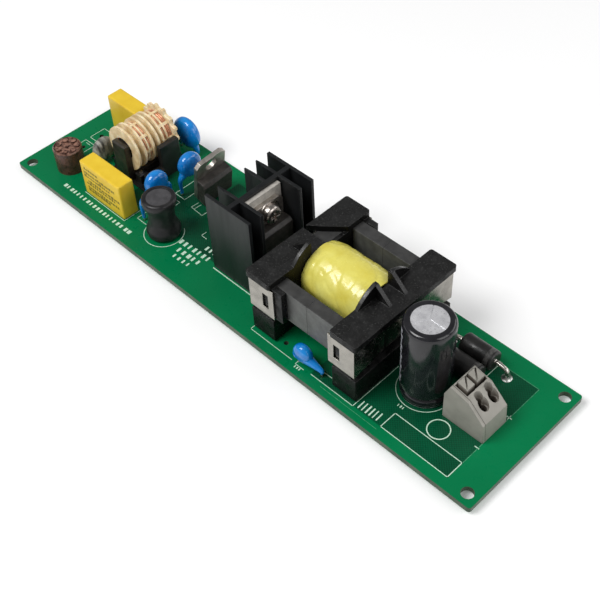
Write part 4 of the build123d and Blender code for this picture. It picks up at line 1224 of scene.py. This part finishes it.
# The terminal's housing, its wire entries opened out into round cups

CUP_HEIGHT = 4.0
CUP_TURNS = 40
WELD_DISTANCE = 0.000001
CUP_FOOT = ((0.35, 0.0), (0.1, 0.15), (0.0, 0.5))
CUP_RIM = ((0.0, 0.0),)

# Cups of one pole: distance from the housing's left side, radius, and floor over the board
POLE_CUPS = ((8.5, 1.4, 6.8), (6.95, 1.08, 8.3))


def carved(node, cutters):
    """A node's shape with some turned shapes taken out of it."""
    work = bmesh.new()
    work.from_mesh(nodes[node].data)
    work.transform(nodes[node].matrix_world)
    bmesh.ops.remove_doubles(work, verts=work.verts, dist=WELD_DISTANCE)
    blank = bpy.data.meshes.new("blank")
    work.to_mesh(blank)
    work.free()
    block = placed("blank", blank)
    tools = [placed("cutter", built_mesh("cutter", [cutter])) for cutter in cutters]
    for tool in tools:
        cut = block.modifiers.new("cut", "BOOLEAN")
        cut.operation, cut.solver, cut.object = "DIFFERENCE", "EXACT", tool
    shaped = block.evaluated_get(bpy.context.evaluated_depsgraph_get()).to_mesh()
    points = [vertex.co.copy() for vertex in shaped.vertices]
    faces = [tuple(face.vertices) for face in shaped.polygons]
    for item in (block, *tools):
        bpy.data.objects.remove(item)
    return points, faces


housing_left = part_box("terminal_housing")[0].x
cups = []
for button in BUTTONS:
    for from_left, radius, floor_height in POLE_CUPS:
        foot = Vector((housing_left + from_left * MM, middle(button).y, board_top))
        foot += up(floor_height)
        profile = rolled(radius, CUP_HEIGHT, CUP_FOOT, CUP_RIM)
        cups.append(turned(profile, foot, Z_AXIS, CUP_TURNS))
housing = carved("terminal_housing", cups)
new_piece("terminal_body", [housing], "terminal", ("terminal_housing",))


# Rows of small print on the front box capacitor

# Each row's height over the board and its ends as shares of the box's width
BOX_ROWS = (
    (9.6, 0.10, 0.42),
    (8.1, 0.08, 0.86),
    (6.9, 0.08, 0.70),
    (5.4, 0.16, 0.92),
    (4.4, 0.10, 0.80),
    (3.0, 0.12, 0.90),
    (2.0, 0.12, 0.62),
)

# How far the ink stands out of the box's face and goes into it, and the least and
# most of each mark's width, of its height and of the gap after it, all in millimetres
INK_OUT, INK_IN = 0.02, 0.01
MARK_WIDTHS = (0.35, 1.1)
MARK_HEIGHTS = (0.55, 0.95)
MARK_GAPS = (0.15, 0.35)

low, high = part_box("x2_capacitor_front")
front, back = low.y - INK_OUT * MM, low.y + INK_IN * MM
box_marks = []
for height, left, right in BOX_ROWS:
    x = low.x + (high.x - low.x) * left
    last = low.x + (high.x - low.x) * right
    base = board_top + height * MM
    while x < last:
        wide = rng.uniform(*MARK_WIDTHS) * MM
        tall = rng.uniform(*MARK_HEIGHTS) * MM
        corners = ((x, base), (x + wide, base), (x + wide, base + tall), (x, base + tall))
        points = [Vector((px, py, pz)) for py in (front, back) for px, pz in corners]
        box_marks.append((points, skin(2, len(corners))))
        x += wide + rng.uniform(*MARK_GAPS) * MM
new_piece("box_print", box_marks, "box_print")


# Stage: a pale floor that looks brighter to the camera than the light on it makes it

FLOOR_REACH = 3.0
FLOOR_GLOW = 0.14
WHITE = (1.0, 1.0, 1.0, 1.0)

floor_mesh = bpy.data.meshes.new("floor")
floor_corners = [
    (x * FLOOR_REACH, y * FLOOR_REACH, 0) for x, y in ((-1, -1), (1, -1), (1, 1), (-1, 1))
]
floor_mesh.from_pydata(floor_corners, [], [(0, 1, 2, 3)])
floor = placed("floor", floor_mesh)
floor.location.z = cad_box[0][2]
floor_look = Graph("floor", (0.86, 0.86, 0.86), 0.9)
floor_look.mottle((0.85, 0.85, 0.85), (0.87, 0.87, 0.87), 3.0)
ray = floor_look.tree.nodes.new("ShaderNodeLightPath")
seen = floor_look.join("MAXIMUM", ray.outputs["Is Camera Ray"], ray.outputs["Is Glossy Ray"])
seen = floor_look.join("MAXIMUM", seen, ray.outputs["Is Transmission Ray"])
glow = floor_look.remap(seen, 0.0, 1.0, 0.0, FLOOR_GLOW)
floor_look.link(glow, floor_look.shader.inputs["Emission Strength"])
floor_look.set(Emission_Color=WHITE)
floor_mesh.materials.append(floor_look.material)


# Light: a pale world and three soft lamps aimed at the board

WORLD_STRENGTH = 0.28

# Each lamp's name, place and size in metres, and power in watts
LAMPS = (
    ("key_lamp", (-0.15, -0.35, 0.55), (0.35, 0.35), 3.6),
    ("fill_lamp", (0.55, 0.05, 0.35), (0.4, 0.4), 1.2),
    ("back_lamp", (0.30, 0.50, 0.30), (0.5, 0.3), 1.0),
)

world = bpy.data.worlds.new("studio")
world.use_nodes = True
bpy.context.scene.world = world
background = world.node_tree.nodes["Background"]
background.inputs["Color"].default_value = WHITE
background.inputs["Strength"].default_value = WORLD_STRENGTH

for name, place, size, power in LAMPS:
    lamp = bpy.data.lights.new(name, "AREA")
    lamp.shape = "RECTANGLE"
    lamp.size, lamp.size_y = size
    lamp.energy = power
    item = placed(name, lamp)
    item.location = place
    item.rotation_euler = (-Vector(place)).to_track_quat("-Z", "Y").to_euler()


# Camera, fitted to the corners and holes of the board in the photo

CAMERA_ROLL = math.radians(-3.533)
FOCAL_PIXELS = 1076.0
IMAGE_PIXELS = 600.0
SENSOR_WIDTH = 36.0

camera_data = bpy.data.cameras.new("camera")
camera_data.sensor_width = SENSOR_WIDTH
camera_data.lens = FOCAL_PIXELS / IMAGE_PIXELS * SENSOR_WIDTH
camera_data.clip_start = 0.01
camera_place = Vector((0.151856, -0.127718, 0.205189 + board_top))
camera_target = Vector((0.014620, -0.002814, board_top))
aim = (camera_target - camera_place).to_track_quat("-Z", "Y").to_matrix().to_4x4()
camera = placed("camera", camera_data)
camera.matrix_world = (
    Matrix.Translation(camera_place) @ aim @ Matrix.Rotation(CAMERA_ROLL, 4, "Z")
)
bpy.context.scene.camera = camera

bpy.context.scene.view_settings.view_transform = "Standard"
